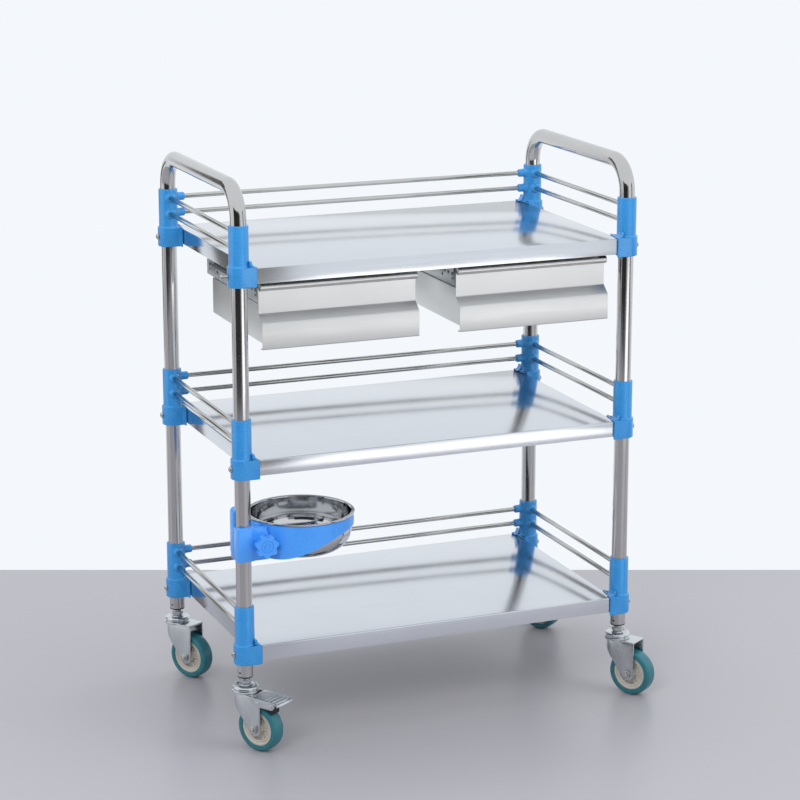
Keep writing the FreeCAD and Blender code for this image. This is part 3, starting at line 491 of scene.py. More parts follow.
def makeShelf(level):                        # a pan turned over, hemmed under its rim
    low, high = boxOf(f"shelf_{level}")
    pan = newBox(low, high)
    enterEdit(pan)
    pick("FACE", lambda at, way: way.z < -0.9)
    bpy.ops.mesh.delete(type="FACE")
    pick("EDGE", lambda at, way: abs(way.z) > 0.9 or at.z > high.z - 0.1)
    bpy.ops.mesh.bevel(offset=shelf["edgeRound"] * mm, segments=4, affect="EDGES")
    pick("EDGE", lambda at, way: at.z < low.z + 0.1)
    bpy.ops.mesh.extrude_edges_move(TRANSFORM_OT_translate={"value": (0, 0, 0)})
    shrink = [(size - 2 * shelf["hem"]) / size for size in (high - low)[:2]]
    bpy.ops.transform.resize(value=(*shrink, 1), center_override=(0, 0, low.z * mm))
    leaveEdit()
    faceOutwards(pan)
    return withModifier(pan, "SOLIDIFY", thickness=shelf["sheet"] * mm, offset=-1)


for level in levels:
    finished(makeShelf(level), f"shelf{level.title()}", "cart", [f"shelf_{level}"],
             shelfSheet)
print("shelves ready")


# Guard rails

rail = {"radius": 4.0, "drop": 14.0, "pitch": 26.0, "backStart": 16.6, "sideStart": 13.2,
        "endRound": 0.8}
bracket = {
    "height": 31.6, "sleeveHeight": 62.6, "web": 1.6, "outerRadius": 18.0, "arm": 23.5,
    "armWall": 2.8, "shelfX": 17.0, "sleeveRadius": 15.5, "bore": 12.55, "edgeRound": 1.3,
    "screwRadius": 2.55, "screwSeat": 5.8, "gateX": 5.0, "gateZ": -25.5, "gate": 1.3,
    "gateFrom": -17.0, "gateTo": -18.35,
}


def makeRails(level):
    rods = []
    for row in (0, 1):
        z = (shelfTops[level] + bracket["web"] + bracket["sleeveHeight"] - rail["drop"]
             - row * rail["pitch"])
        rods.append(newRod((rail["backStart"] - postX, postY, z),
                           (postX - rail["backStart"], postY, z), rail["radius"], 32))
        for way in sides.values():
            rods.append(newRod((way * postX, rail["sideStart"] - postY, z),
                               (way * postX, postY - rail["sideStart"], z),
                               rail["radius"], 32))
    for rod in rods:
        rounded(rod, rail["endRound"], 2, 60)
    return joined(*rods)


for level in levels:
    finished(makeRails(level), f"rails{level.title()}", "cart", [f"rails_{level}"],
             brightRod)
print("rails ready")


# Corner brackets. Each is modelled for the front left corner: the post's axis at the
# origin, the block's top at height 0, the shelf towards +X and the cart's inside at +Y.

def makeBlock():
    r, arm, x, wall = (bracket[k] for k in ("outerRadius", "arm", "shelfX", "armWall"))
    trim = math.asin(x / r)
    arc = [(-r * math.cos(a), r * math.sin(a))
           for a in [-math.pi / 2 + step * (math.pi / 2 + trim) / 18 for step in range(19)]]
    outline = [(arm, -r), *arc, (x - wall, x), (x - wall, arm), (x, arm),
               (x, wall - r), (arm, wall - r)]
    rounds = [((arm, -r), 1.3), ((arm, wall - r), 1.0), ((x, arm), 1.3),
              ((x - wall, arm), 1.3), ((x - wall, x), 2.4)]
    return rounded(newPlate(outline, -bracket["height"], 0, rounds),
                   bracket["edgeRound"], 4, 50)


def makeWeb():                               # the tongue that laps over the shelf corner
    r, arm = bracket["outerRadius"], bracket["arm"]
    outline = [(0, -r), (arm, -r), (arm - 1.4, -14.5), (21.0, -9.0), (20.0, -2.0),
               (19.6, 6.0), (19.0, 14.0), (17.6, arm - 1.5), (16.2, arm), (14.2, arm),
               (13.0, 12.0), (0, 0)]
    return rounded(newPlate(outline, -bracket["web"], 0), 0.5, 2, 40)


def makeSleeve():                            # flares softly where it leaves the block
    r, top = bracket["sleeveRadius"], bracket["sleeveHeight"]
    return newTurned([(r - 1.5, -20), (r + 2.3, -1.2), (r + 1.5, -0.1), (r + 0.7, 0.6),
                      (r + 0.25, 1.6), (r, 3.2), (r, top - 1.1), (r - 0.3, top - 0.4),
                      (r - 1.0, top), (bracket["bore"] - 2, top)], rim=72)


def makeBoss(profile, turn, z):              # a rail socket, turned to point its way
    socket = turned(newTurned(profile, rim=40), turn)
    return turned(socket, (0, 0, 0), (0, 0, z))


def makeBracket(end):
    top = bracket["sleeveHeight"]
    block, web, sleeve = makeBlock(), makeWeb(), makeSleeve()
    gusset = stand(newPlate([(12, -1), (23.0, -1), (19.8, 0.5), (17.6, 2.2), (16.2, 5.0),
                             (15.5, 8.5), (12, 8.5)], 3.0, 15.2), "XZ")
    gateX, gateZ = bracket["gateX"], bracket["gateZ"]
    gate = newRod((gateX, bracket["gateFrom"], gateZ), (gateX, bracket["gateTo"], gateZ),
                  bracket["gate"], 20)
    shape = welded(block, sleeve, web, gusset, rounded(gate, 0.3, 2, 60))
    for row in (0, 1):
        z = top - rail["drop"] - row * rail["pitch"]
        collar = makeBoss([(10.5, 9), (9.2, 14.0), (8.0, 15.6), (7.2, 16.6), (6.8, 17.6),
                           (6.4, 18.3), (5.4, 18.6), (2, 18.6)], (-90, 0, 0), z)
        welded(shape, collar)
        if end == "back":
            boss = makeBoss([(10.5, 9), (9.0, 14.0), (7.7, 15.8), (7.0, 17.4), (6.8, 19.0),
                             (6.8, 24.4), (6.5, 25.9), (5.8, 27.0), (4.9, 27.5),
                             (2, 27.5)], (0, 90, 0), z)
            welded(shape, boss)
    z = -bracket["height"] / 2
    seat = newRod((-30, 0, z), (-17.3, 0, z), bracket["screwSeat"], 32)
    hole = newRod((-20, 0, z), (-8, 0, z), bracket["screwRadius"], 24)
    bore = newRod((0, 0, -40), (0, 0, top + 10), bracket["bore"], 64)
    return carved(shape, bore, seat, hole)


for end in ends:
    shape = makeBracket(end)
    for side in sides:
        for level in levels:
            piece = placed(copied(shape), (sides[side] * postX, ends[end] * postY,
                                           shelfTops[level] + bracket["web"]),
                           flip=(-sides[side], -ends[end]))
            finished(piece, f"bracket{end.title()}{side.title()}{level.title()}", "cart",
                     [f"bracket_{end}_{side}_{level}"], blueAbs)
    discard(shape)
print("brackets ready")


# Bracket screws: pan heads with a cross recess. The front left one under the top shelf
# stands proud, so its thread shows.

screw = {"radius": 2.5, "head": 5.0, "headHeight": 3.6, "shank": 10.0, "loose": 9.0,
         "pitch": 0.9, "threadDepth": 0.35, "slotHalf": 2.6, "slotWidth": 0.9,
         "slotDepth": 1.3}


def makeScrew(gap):                          # the head's underside at height 0, pointing +Z
    r, head, h = screw["radius"], screw["head"], screw["headHeight"]
    profile = [(head - 3.4, h), (head - 2.2, h - 0.25), (head - 1.0, h - 1.0),
               (head - 0.25, h - 2.0), (head, h - 3.0), (head, 0.15), (head - 0.15, 0),
               (r, 0)]
    depth = gap + screw["shank"]
    for step in range(int(gap / screw["pitch"])):
        z = -step * screw["pitch"]
        profile += [(r, z - 0.3), (r - screw["threadDepth"], z - 0.6)]
    profile += [(r - 0.02, -depth + 0.4), (r - 0.5, -depth)]
    body = newTurned(profile, rim=32)
    along, across, low = screw["slotHalf"], screw["slotWidth"] / 2, h - screw["slotDepth"]
    slots = [newBox((-x, -y, low), (x, y, h + 1))
             for x, y in ((along, across), (across, along))]
    return carved(body, *slots)


screws = []
for end, side in corners:
    for level in levels:
        gap = screw["loose"] if (end, side, level) == ("front", "left", "top") else 0
        at = (sides[side] * (postX + bracket["outerRadius"] + gap), ends[end] * postY,
              shelfTops[level] + bracket["web"] - bracket["height"] / 2)
        screws.append(turned(makeScrew(gap), (0, 90 * sides[side], 0), at))
finished(joined(*screws), "bracketScrews", "cart", ["bracket_screws"],
         platedSteel)
print("screws ready")


# Post plugs

plug = {"flange": 2.6, "core": 11.2, "depth": 30.0, "bore": 5.06}


def makePlug():
    foot, edge = tubeLow.z, tubeRadius
    return newTurned([(plug["bore"], foot - plug["flange"]),
                      (edge - 1.8, foot - plug["flange"]), (edge - 0.7, foot - 2.2),
                      (edge - 0.1, foot - 1.4), (edge - 0.1, foot - 0.1),
                      (plug["core"], foot), (plug["core"], foot + plug["depth"]),
                      (plug["bore"], foot + plug["depth"])], closed=True)


plugShape = makePlug()
plugs = [placed(copied(plugShape), (sides[side] * postX, ends[end] * postY, 0))
         for end, side in corners]
discard(plugShape)
finished(joined(*plugs), "postPlugs", "cart", ["post_plugs"], blackPlastic)
print("plugs ready")


# Casters. Each part is modelled round the swivel axis with the wheel trailing to +X, then
# copied to the four posts at the angle that the wheels stand at.

caster = {
    "angle": -57.3, "trail": 30.0, "axleHeight": 37.5, "halfGap": 15.0, "wall": 2.5,
    "crownZ": boxOf("caster_front_left_stem")[0].z + 2.5,
    "pinX": 39.6, "pinDrop": 7.5, "pinHole": 3.1, "cheek": 11.0, "bore": 5.08, "axle": 4.0,
    "nutFlats": 17.0, "boltFlats": 13.0, "washer": 7.6, "ribs": 6, "ribThick": 2.0,
}
braked = [("front", "left"), ("back", "right")]


def makeFork(withTop):
    gap, wall, z = caster["halfGap"], caster["wall"], caster["crownZ"]
    trail, axle, cheek = caster["trail"], caster["axleHeight"], caster["cheek"]
    heel = trail + cheek
    cup = newTurned([(caster["bore"], z), (20.9, z), (21.5, z + 0.6), (21.5, z + 2.4),
                     (20.8, z + 3.2), (19.5, z + 3.6), (19.3, z + 4.3), (20.4, z + 4.9),
                     (21.0, z + 5.9), (21.1, z + 7.2), (20.5, z + 8.7), (19.3, z + 9.9),
                     (17.6, z + 10.7), (15.9, z + 10.8), (14.6, z + 10.2),
                     (13.8, z + 9.2), (12.4, z + 8.7), (caster["bore"], z + 8.7)],
                    rim=72, closed=True)
    outer, inner = gap + wall, gap
    wrap = [step * 12 for step in range(6)]
    outline = ([(heel, outer)]
               + [(-outer * math.sin(math.radians(a)), outer * math.cos(math.radians(a)))
                  for a in wrap]
               + [(-inner * math.sin(math.radians(a)), inner * math.cos(math.radians(a)))
                  for a in reversed(wrap)] + [(heel, inner)])
    cheeks = []
    for way in (1, -1):
        cheekPlate = newPlate([(x, way * y) for x, y in outline], 20, z)
        foot = [(trail + cheek * math.cos(math.radians(a)),
                 axle + cheek * math.sin(math.radians(a)))
                for a in range(0, -140, -14)]
        ear = [(22, z), (22, z - 4.0), (heel + 4.5, z - 4.0), (heel + 4.5, z - 13.5),
               (heel, z - 17.5)]
        top = [(heel + 5, z + 5)] if withTop else ear
        side = stand(newPlate([(-22, z + 5), *([] if withTop else [(22, z + 5)]), *top,
                               *foot, (14, 42), (-20, z - 8)], -40, 40), "XZ")
        cheeks.append(rounded(combined(cheekPlate, [side], "INTERSECT"), 0.5, 2, 50))
    fork = welded(cup, *cheeks)
    if withTop:
        bridge = newPlate([(0, -outer), (heel, -outer), (heel, outer), (0, outer)],
                          z - 0.4, z + wall)
        welded(fork, rounded(bridge, 1.1, 3, 50))
        carved(fork, newRod((0, 0, z - 20), (0, 0, z + 20), caster["bore"], 48))
    else:
        pinX, pinZ = caster["pinX"], z - caster["pinDrop"]
        carved(fork, newRod((pinX, -40, pinZ), (pinX, 40, pinZ), caster["pinHole"], 32))
    hole = newRod((trail, -40, axle), (trail, 40, axle), caster["axle"] + 0.06, 40)
    return carved(fork, hole)


def makeStem():                              # rivet head, washers, nut, neck and shank
    base = caster["crownZ"]
    turned = newTurned([(8.6, base - 2.5), (9.4, base - 1.9), (9.5, base - 0.5),
                        (5.0, base - 0.5), (5.0, base + 9.6), (9.6, base + 9.6),
                        (10.0, base + 10.0), (10.0, base + 11.2), (9.5, base + 11.7),
                        (8.4, base + 11.9), (8.4, base + 12.9), (7.6, base + 13.2),
                        (7.6, base + 19.4), (7.0, base + 19.8), (7.2, base + 21.0),
                        (8.4, base + 22.2), (9.6, tubeLow.z - 2.65), (5.0, tubeLow.z - 2.62),
                        (5.0, tubeLow.z + 20.0), (4.2, tubeLow.z + 21.0)],
                       rim=56)
    nut = newRod((0, 0, base + 13.6), (0, 0, base + 19.2),
                 caster["nutFlats"] / math.sqrt(3), 6)
    cone = newTurned([(11.0, base + 13.0), (8.6, base + 12.9), (8.4, base + 13.4),
                      (9.9, base + 14.6), (9.9, base + 18.2), (8.4, base + 19.6),
                      (11.0, base + 19.8)], rim=48, closed=True)
    return welded(turned, carved(nut, cone))


def wheelUp(piece):                          # from turned about Z to round the axle
    return turned(piece, (90, 0, 0), (caster["trail"], 0, caster["axleHeight"]))


def makeAxle():                              # a hex bolt, its nut and the thread beyond it
    half, axle = caster["halfGap"] + caster["wall"], caster["axle"]
    shank = newTurned([(axle - 0.8, -half - 7.6), (axle - 0.05, -half - 6.9),
                       (axle - 0.05, half + 0.2), (axle - 0.05, half + 7.0),
                       (axle - 0.8, half + 7.8)], rim=40)
    parts = []
    for way in (-1, 1):
        low, high = sorted((way * (half + 1.3), way * (half + 5.6)))
        hexHead = newRod((0, 0, low), (0, 0, high), caster["boltFlats"] / math.sqrt(3), 6)
        washer = newRod((0, 0, way * (half + 0.05)), (0, 0, way * (half + 1.35)),
                        caster["washer"], 40)
        parts += [rounded(hexHead, 0.7, 2, 50), rounded(washer, 0.35, 2, 50)]
    return wheelUp(welded(shank, *parts))


def makeHub():
    half = [(10.0, 3.6), (10.8, 2.8), (18.6, 2.8), (19.4, 3.6), (20.0, 7.8), (20.8, 8.6),
            (22.4, 8.7), (22.8, 7.9), (23.6, 7.9), (24.0, 9.1), (24.9, 9.9), (25.6, 10.4),
            (27.6, 10.5), (28.3, 10.2), (28.46, 9.6)]
    profile = ([(caster["axle"] + 0.05, -14.5), (8.9, -14.5), (9.6, -14.0), (10.0, -13.0)]
               + [(r, -w) for r, w in half] + list(reversed(half))
               + [(10.0, 13.0), (9.6, 14.0), (8.9, 14.5), (caster["axle"] + 0.05, 14.5)])
    hub = newTurned(profile, rim=80, closed=True)
    y = caster["ribThick"] / 2
    for step in range(caster["ribs"]):
        for low, high in ((-7.0, -2.4), (2.4, 7.0)):
            rib = newBox((9.6, -y, low), (20.0, y, high))
            welded(hub, turned(rib, (0, 0, 360 / caster["ribs"] * step)))
    return wheelUp(hub)


def makeTyre():
    half = [(28.5, 11.6), (28.9, 12.0), (30.6, 12.0), (31.0, 11.7), (31.5, 11.7),
            (31.9, 12.0), (33.6, 11.9), (35.2, 11.4), (36.4, 10.4), (37.1, 9.0),
            (37.4, 7.0), (37.5, 3.5)]
    profile = [(r, -w) for r, w in half] + list(reversed(half))
    return wheelUp(newTurned(profile, rim=96, closed=True))


forks = {True: makeFork(False), False: makeFork(True)}
casterParts = [
    ("stem", makeStem(), "cart", "zinc_plate", zincPlate),
    ("axle", makeAxle(), "caster", "screw_steel", platedSteel),
    ("hub", makeHub(), "wheel", "hub_plastic", hubPlastic),
    ("tyre", makeTyre(), "wheel", "tyre_teal", tyreTeal),
]
for end, side in corners:
    corner = f"{end}_{side}"
    at = (sides[side] * postX, ends[end] * postY, 0)
    parts = [("fork", forks[(end, side) in braked], "caster", "zinc_plate", zincPlate)]
    for kind, shape, rides, slot, material in parts + casterParts:
        piece = placed(copied(shape), at, caster["angle"])
        body = rides if rides == "cart" else f"{rides}_{corner}"
        finished(piece, f"caster{end.title()}{side.title()}{kind.title()}", body,
                 [f"caster_{corner}_{kind}"], material)
discard(*forks.values(), *[part[1] for part in casterParts])
print("casters ready")


# Foot brakes: a folded zinc pedal with pressed ribs, pinned through the fork's ears, and a
# rubber shoe under it. Modelled round the swivel axis too, with heights from the crown's.

brake = {"halfWidth": 20.0, "sheet": 1.7, "ribFirst": 72.5, "ribStep": 7.0, "ribs": 4,
         "rivets": [(39.6, -7.5), (64.6, -8.1)], "rivet": 3.4, "pin": 2.95,
         "shoeHalf": 10.0, "shoeReach": 40.5, "shoeStart": 45.0, "shoeEnd": 59.0,
         "shoeFoot": 62.0, "shoeDrop": 2.6}


def fromCrown(points):
    return [(x, caster["crownZ"] + z) for x, z in points]


def makePedal():
    half = brake["halfWidth"]
    top = fromCrown([(22.5, -0.2), (26.0, 0.2), (32.0, 0.2), (60.0, -0.6), (73.0, -1.8),
                     (77.0, -3.4), (78.5, -6.4), (77.3, -6.8), (75.9, -4.8), (72.6, -3.4),
                     (59.7, -2.3), (32.0, -1.5), (22.5, -1.9)])
    top = rounded(stand(newPlate(top, -half, half), "XZ"), 0.4, 2, 40)
    flange = fromCrown([(22.5, -0.8), (32.0, -0.4), (60.0, -1.2), (71.5, -2.6), (72.0, -8.0),
                        (68.5, -12.6), (65.0, -13.5), (36.0, -13.5), (31.0, -12.0),
                        (24.0, -5.0)])
    flange = stand(newPlate(flange, half - brake["sheet"], half), "XZ")
    rounded(flange, 0.4, 2, 40)
    parts = [flange, placed(copied(flange), flip=(1, -1))]
    for step in range(brake["ribs"]):
        x = brake["ribFirst"] - step * brake["ribStep"]
        (x, z), = fromCrown([(x, -0.7 - max(x - 60, 0) * 0.09)])
        rib = newRod((x, 4 - half, z - 0.5), (x, half - 4, z - 0.5), 1.6, 20)
        parts.append(rounded(rib, 0.7, 2, 60))
    for x, z in fromCrown(brake["rivets"]):
        for way in (-1, 1):
            dome = newTurned([(brake["rivet"], -1.2), (brake["rivet"], 0.3),
                              (brake["rivet"] - 0.5, 0.9), (1.6, 1.2)], rim=32)
            parts.append(turned(dome, (-90 * way, 0, 0), (x, way * half, z)))
    pinX, pinZ = fromCrown(brake["rivets"])[0]
    parts.append(newRod((pinX, 1 - half, pinZ), (pinX, half - 1, pinZ), brake["pin"], 32))
    return welded(top, *parts)


def makeShoe():
    half, reach = brake["shoeHalf"], brake["shoeReach"]
    trail, axle = caster["trail"], caster["axleHeight"]
    shoe = newBox((brake["shoeStart"], -half, brake["shoeFoot"]),
                  (brake["shoeEnd"], half, caster["crownZ"] - brake["shoeDrop"]))
    shoe = carved(shoe, newRod((trail, -30, axle), (trail, 30, axle), reach, 96))
    return rounded(shoe, 0.8, 2, 40)


pedalShape, shoeShape = makePedal(), makeShoe()
for end, side in braked:
    at = (sides[side] * postX, ends[end] * postY, 0)
    for kind, shape, slot, material in (
            ("pedal", pedalShape, "zinc_plate", zincPlate),
            ("shoe", shoeShape, "black_plastic", blackPlastic)):
        piece = placed(copied(shape), at, caster["angle"])
        finished(piece, f"brake{end.title()}{side.title()}{kind.title()}",
                 f"brake_{end}_{side}", [f"brake_{end}_{side}_{kind}"], material)
discard(pedalShape, shoeShape)
print("brakes ready")


# Drawers. The left one is modelled and mirrored across for the right one.

drawer = {
    "sheet": 1.0, "fold": 1.4, "step": 13.7, "ledgeBottom": 680.5, "ledgeTop": 694.0,
    "upperSetback": 16.5, "hem": 9.0, "sideTop": 708.0, "gripRadius": 6.0,
}
slide = {"wall": 1.5, "gap": 0.5, "lip": 9.0, "middleLip": 6.0, "fold": 1.2,
         "hangerInset": 8.0, "hangerLength": 30.0, "hangerFlange": 16.0, "hole": 2.6,
         "holeInsets": (14.0, 52.0), "tabDrop": 12.0, "rivetInset": 7.0, "rivetDrop": 6.0}
frontLow, frontHigh = boxOf("drawer_left_front")
boxLow, boxHigh = boxOf("drawer_left_box")
railLow, railHigh = boxOf("drawer_left_slide_rails")


def newFolded(line, low, high, sheet, fold, plane):   # sheet bent along a line of middles
    piece = newLine(line, low)
    extrudeUp(high - low)
    for x, y in line[1:-1]:
        pick("EDGE", lambda at, way: abs(way.z) > 0.9
             and abs(at.x - x) < 0.01 and abs(at.y - y) < 0.01)
        bpy.ops.mesh.bevel(offset=fold * mm, segments=4, affect="EDGES")
    leaveEdit()
    faceOutwards(piece)
    withModifier(piece, "SOLIDIFY", thickness=sheet * mm, offset=0)
    return stand(piece, plane)


def acrossDrawer(piece):                     # the same part on the drawer's other side
    return placed(copied(piece), (frontLow.x + frontHigh.x, 0, 0), 0, (-1, 1))


def makeDrawerFront():
    low, high, half = frontLow, frontHigh, drawer["sheet"] / 2
    y = low.y + half
    upperY = y + drawer["upperSetback"]
    return newFolded([(y + drawer["hem"], low.z + half), (y, low.z + half),
                      (y, drawer["ledgeBottom"]), (upperY, drawer["ledgeTop"]),
                      (upperY, high.z - drawer["gripRadius"])],
                     low.x, high.x, drawer["sheet"], drawer["fold"], "YZ")


def makeGrip():                              # the front's rolled top edge, with end plugs
    low, high, radius = frontLow, frontHigh, drawer["gripRadius"]
    y = low.y + drawer["upperSetback"] + drawer["sheet"] - radius
    z = high.z - radius
    length = high.x - low.x
    roll = newTurned([(radius - 1, 0.2), (radius - 0.8, 0), (radius - 0.3, 0),
                      (radius, 0.4), (radius, length - 0.4), (radius - 0.3, length),
                      (radius - 0.8, length), (radius - 1, length - 0.2)], 48, closed=True)
    ends = [newTurned([(radius - 1.6, at - way * 1.0), (radius - 0.95, at - way * 1.5),
                       (radius - 0.95, at - way * 4.0), (2, at - way * 4.0)], 32)
            for at, way in ((0, -1), (length, 1))]
    return turned(welded(roll, *ends), (0, 90, 0), (low.x, y, z))


def makeDrawerBox():
    low, high, half, step = boxLow, boxHigh, drawer["sheet"] / 2, drawer["step"]
    top, rim = drawer["sideTop"] - half, high.z - half
    left, right = low.x + half, high.x - half
    pan = newFolded([(left + step, rim), (left + step, top), (left, top),
                     (left, low.z + half), (right, low.z + half), (right, top),
                     (right - step, top), (right - step, rim)],
                    -high.y, -low.y, drawer["sheet"], drawer["fold"], "XZ")
    upperY = low.y + drawer["upperSetback"]
    front = stand(newPlate([(low.y - 10, drawer["ledgeBottom"] - 0.5),
                            (low.y, drawer["ledgeBottom"] - 0.5),
                            (upperY, drawer["ledgeTop"] - 0.5), (upperY, rim + 10),
                            (low.y - 10, rim + 10)], left - 10, right + 10), "YZ")
    carved(pan, front)
    back = stand(newPlate([(low.x + 0.6, low.z + 0.6), (high.x - 0.6, low.z + 0.6),
                           (high.x - 0.6, top), (high.x - step, top),
                           (high.x - step, rim), (low.x + step, rim), (low.x + step, top),
                           (low.x + 0.6, top)], -high.y, drawer["sheet"] - high.y), "XZ")
    return welded(pan, back)


def channel(start, lip, inset, facing):      # one C-shaped slide member, for one side
    half = slide["wall"] / 2
    x0 = railLow.x + start
    low, high = railLow.z + inset + half, slideTop - inset - half
    web, edge = (x0 + half, x0 + lip) if facing > 0 else (x0 + lip - half, x0)
    member = newFolded([(edge, low), (web, low), (web, high), (edge, high)],
                       -railHigh.y, -railLow.y, slide["wall"], slide["fold"], "XZ")
    return rounded(member, 0.25, 2, 60)


def makeHanger(y):                           # a tab up to the shelf's underside
    x, wall, top = railLow.x, slide["wall"], railHigh.z
    length, flange = slide["hangerLength"], slide["hangerFlange"]
    foot, inset = slideTop - slide["tabDrop"], slide["rivetInset"]
    tab = stand(newPlate([(y, foot), (y + length, foot), (y + length, top), (y, top)],
                         x, x + wall, [((y, foot), 5), ((y + length, foot), 5)]), "YZ")
    flap = newPlate([(x, y), (x + flange, y), (x + flange, y + length), (x, y + length)],
                    top - wall, top, [((x + flange, y), 4), ((x + flange, y + length), 4)])
    window = newRod((x - 5, y + length / 2, (slideTop + top) / 2),
                    (x + 5, y + length / 2, (slideTop + top) / 2), slide["hole"] * 2, 32)
    hanger = carved(welded(tab, flap), window)
    for place in (y + inset, y + length - inset):
        rivet = newTurned([(2.6, -3), (2.6, 0.3), (2.1, 0.9), (1.0, 1.1)], 24)
        welded(hanger, turned(rivet, (0, 90, 0),
                              (x + wall, place, slideTop - slide["rivetDrop"])))
    return hanger


slideTop = boxHigh.z + slide["gap"]
fixed = channel(0, slide["lip"], 0, 1)
slideMiddle = (railLow.z + slideTop) / 2
near, far = slide["holeInsets"]
holes = [newRod((railLow.x - 5, y, slideMiddle), (railLow.x + 5, y, slideMiddle),
                slide["hole"], 24)
         for y in (railLow.y + near, railLow.y + far, railHigh.y - far, railHigh.y - near)]
carved(fixed, *holes)
welded(fixed, makeHanger(railLow.y + slide["hangerInset"]),
       makeHanger(railHigh.y - slide["hangerInset"] - slide["hangerLength"]))
nest = slide["wall"] + 2 * slide["gap"]      # from one member to the next inside it
middle = channel(nest, slide["middleLip"], nest, 1)
innerStart = 2 * nest
inner = channel(innerStart, boxLow.x + drawer["step"] - railLow.x - innerStart, innerStart, -1)
shapes = [
    ("Box", makeDrawerBox(), "drawer_{}", "box", "drawer_sheet", drawerSheet),
    ("Front", makeDrawerFront(), "drawer_{}", "front", "drawer_sheet", drawerSheet),
    ("Grip", makeGrip(), "drawer_{}", "front", "rail_rod", brightRod),
    ("SlideRails", joined(fixed, acrossDrawer(fixed)), "cart", "slide_rails",
     "slide_steel", galvanised),
    ("SlideMiddles", joined(middle, acrossDrawer(middle)), "drawer_{}_slides",
     "slide_middles", "slide_steel", galvanised),
    ("SlideRunners", joined(inner, acrossDrawer(inner)), "drawer_{}", "slide_runners",
     "slide_steel", galvanised),
]
for kind, shape, body, node, slot, material in shapes:
    for side in sides:
        piece = placed(copied(shape), flip=(-sides[side], 1))
        finished(piece, f"drawer{side.title()}{kind}", body.format(side),
                 [f"drawer_{side}_{node}"], material)
    discard(shape)
print("drawers ready")


# Bowl holder. Modelled round the front left post's axis: the jaw in front of the post, the
# other half behind it, grown into the ring that the bowl hangs in.

holder = {
    "ringX": 107.0, "ringY": 35.0, "bore": 82.0, "wall": 3.0, "low": 309.0, "top": 364.0,
    "jawTop": 363.0, "farHeight": 18.0, "slopeStart": -69.0, "slopeEnd": 68.0,
    "side": 15.5, "back": 18.5, "split": 0.4, "lugTop": 390.0, "right": 36.0,
    "front": -19.5, "flapFront": -18.0, "flap": 5.0, "postBore": 12.56, "edgeRound": 1.0,
    "ringGap": 0.8,
}
knob = {
    "x": 26.5, "z": 336.0, "back": -30.4, "thick": 9.0, "neck": 8.5, "neckEnd": -18.4,
    "lobes": 7, "lobe": 4.7, "lobeAt": 14.3, "lobeTurn": 12.0, "core": 15.4, "screw": 3.95,
    "screwEnd": -8.0,
}


def holderCuts(room, screwEnd):              # the bowl's room, the post and the knob's screw
    x, y, high = holder["ringX"], holder["ringY"], 2 * holder["top"]
    return (newRod((x, y, 0), (x, y, high), room, 144),
            newRod((0, 0, 0), (0, 0, high), holder["postBore"], 64),
            newRod((knob["x"], -60, knob["z"]), (knob["x"], screwEnd, knob["z"]),
                   knob["screw"] + 0.1, 32))


def makeHolder():
    side, low, top = holder["side"], holder["low"], holder["top"]
    x, y, wall = holder["ringX"], holder["ringY"], holder["wall"]
    split, back, bore = holder["split"], holder["back"], holder["bore"]
    outer = bore + wall
    band = newTurned([(bore, low), (outer - 0.8, low), (outer, low + 0.8),
                      (outer, top - 1.0), (outer - 1.0, top), (bore + 0.7, top),
                      (bore, top - 0.7)], rim=144, closed=True)
    slope = [(holder["slopeStart"] - 1, low - 20), (holder["slopeStart"] - 1, low - 0.5)]
    for step in range(17):                   # the band's lower edge, swept up to the far side
        part = step / 16
        along = holder["slopeStart"] + part * (holder["slopeEnd"] - holder["slopeStart"])
        rise = (top - low - holder["farHeight"]) * part * part * (3 - 2 * part)
        slope.append((along, low + rise))
    slope += [(2 * outer, top - holder["farHeight"]), (2 * outer, low - 20)]
    carved(band, stand(newPlate(slope, -2 * outer, 2 * outer), "XZ"))
    turned(band, (0, 0, 0), (x, y, 0))
    half = newPlate([(-side, split), (holder["right"] + 4, split),
                     (holder["right"] + 4, back), (-side, back)], low, top,
                    [((-side, back), 5)])
    lap = 0.2                                # keeps the joined blocks' faces apart
    lug = stand(newPlate([(lap - side, low + 9), (-2, low + 9), (-2, holder["lugTop"] - 4),
                          (-4, holder["lugTop"]), (lap - side, holder["lugTop"])],
                         lap - back, -split - lap, [((lap - side, holder["lugTop"]), 7)]),
                "XZ")
    boss = newBox((side + 0.4, holder["flapFront"] + holder["flap"] + split, low + lap),
                  (holder["right"], split + 3, top - 3))
    for part in (half, lug, boss):
        rounded(part, holder["edgeRound"], 3, 40)
    clamp = welded(half, lug, boss)
    return welded(carved(clamp, *holderCuts(bore, knob["screwEnd"] + 1)), band)


def makeJaw():
    side, low, top = holder["side"], holder["low"], holder["jawTop"]
    front, split, right = holder["front"], holder["split"], holder["right"]
    flapFront, flap = holder["flapFront"], holder["flap"]
    jaw = newPlate([(-side, -split), (-side, front), (9.5, front), (side, flapFront + 2.5),
                    (side, -split)], low, top,
                   [((-side, front), 1.6), ((9.5, front), 3.5), ((side, flapFront + 2.5), 2)])
    rounded(jaw, holder["edgeRound"], 3, 50)
    plate = stand(newPlate([(0, low + 0.4), (right, low + 0.4), (right, top - 11),
                            (right - 5, top - 4), (right - 12, top - 2), (0, top - 0.5)],
                           -flapFront - flap, -flapFront,
                           [((right, low + 0.4), 5), ((right, top - 11), 4),
                            ((right - 5, top - 4), 3)]), "XZ")
    rounded(plate, holder["edgeRound"], 3, 50)
    room = holder["bore"] + holder["wall"] + holder["ringGap"]
    return carved(welded(jaw, plate), *holderCuts(room, 0))


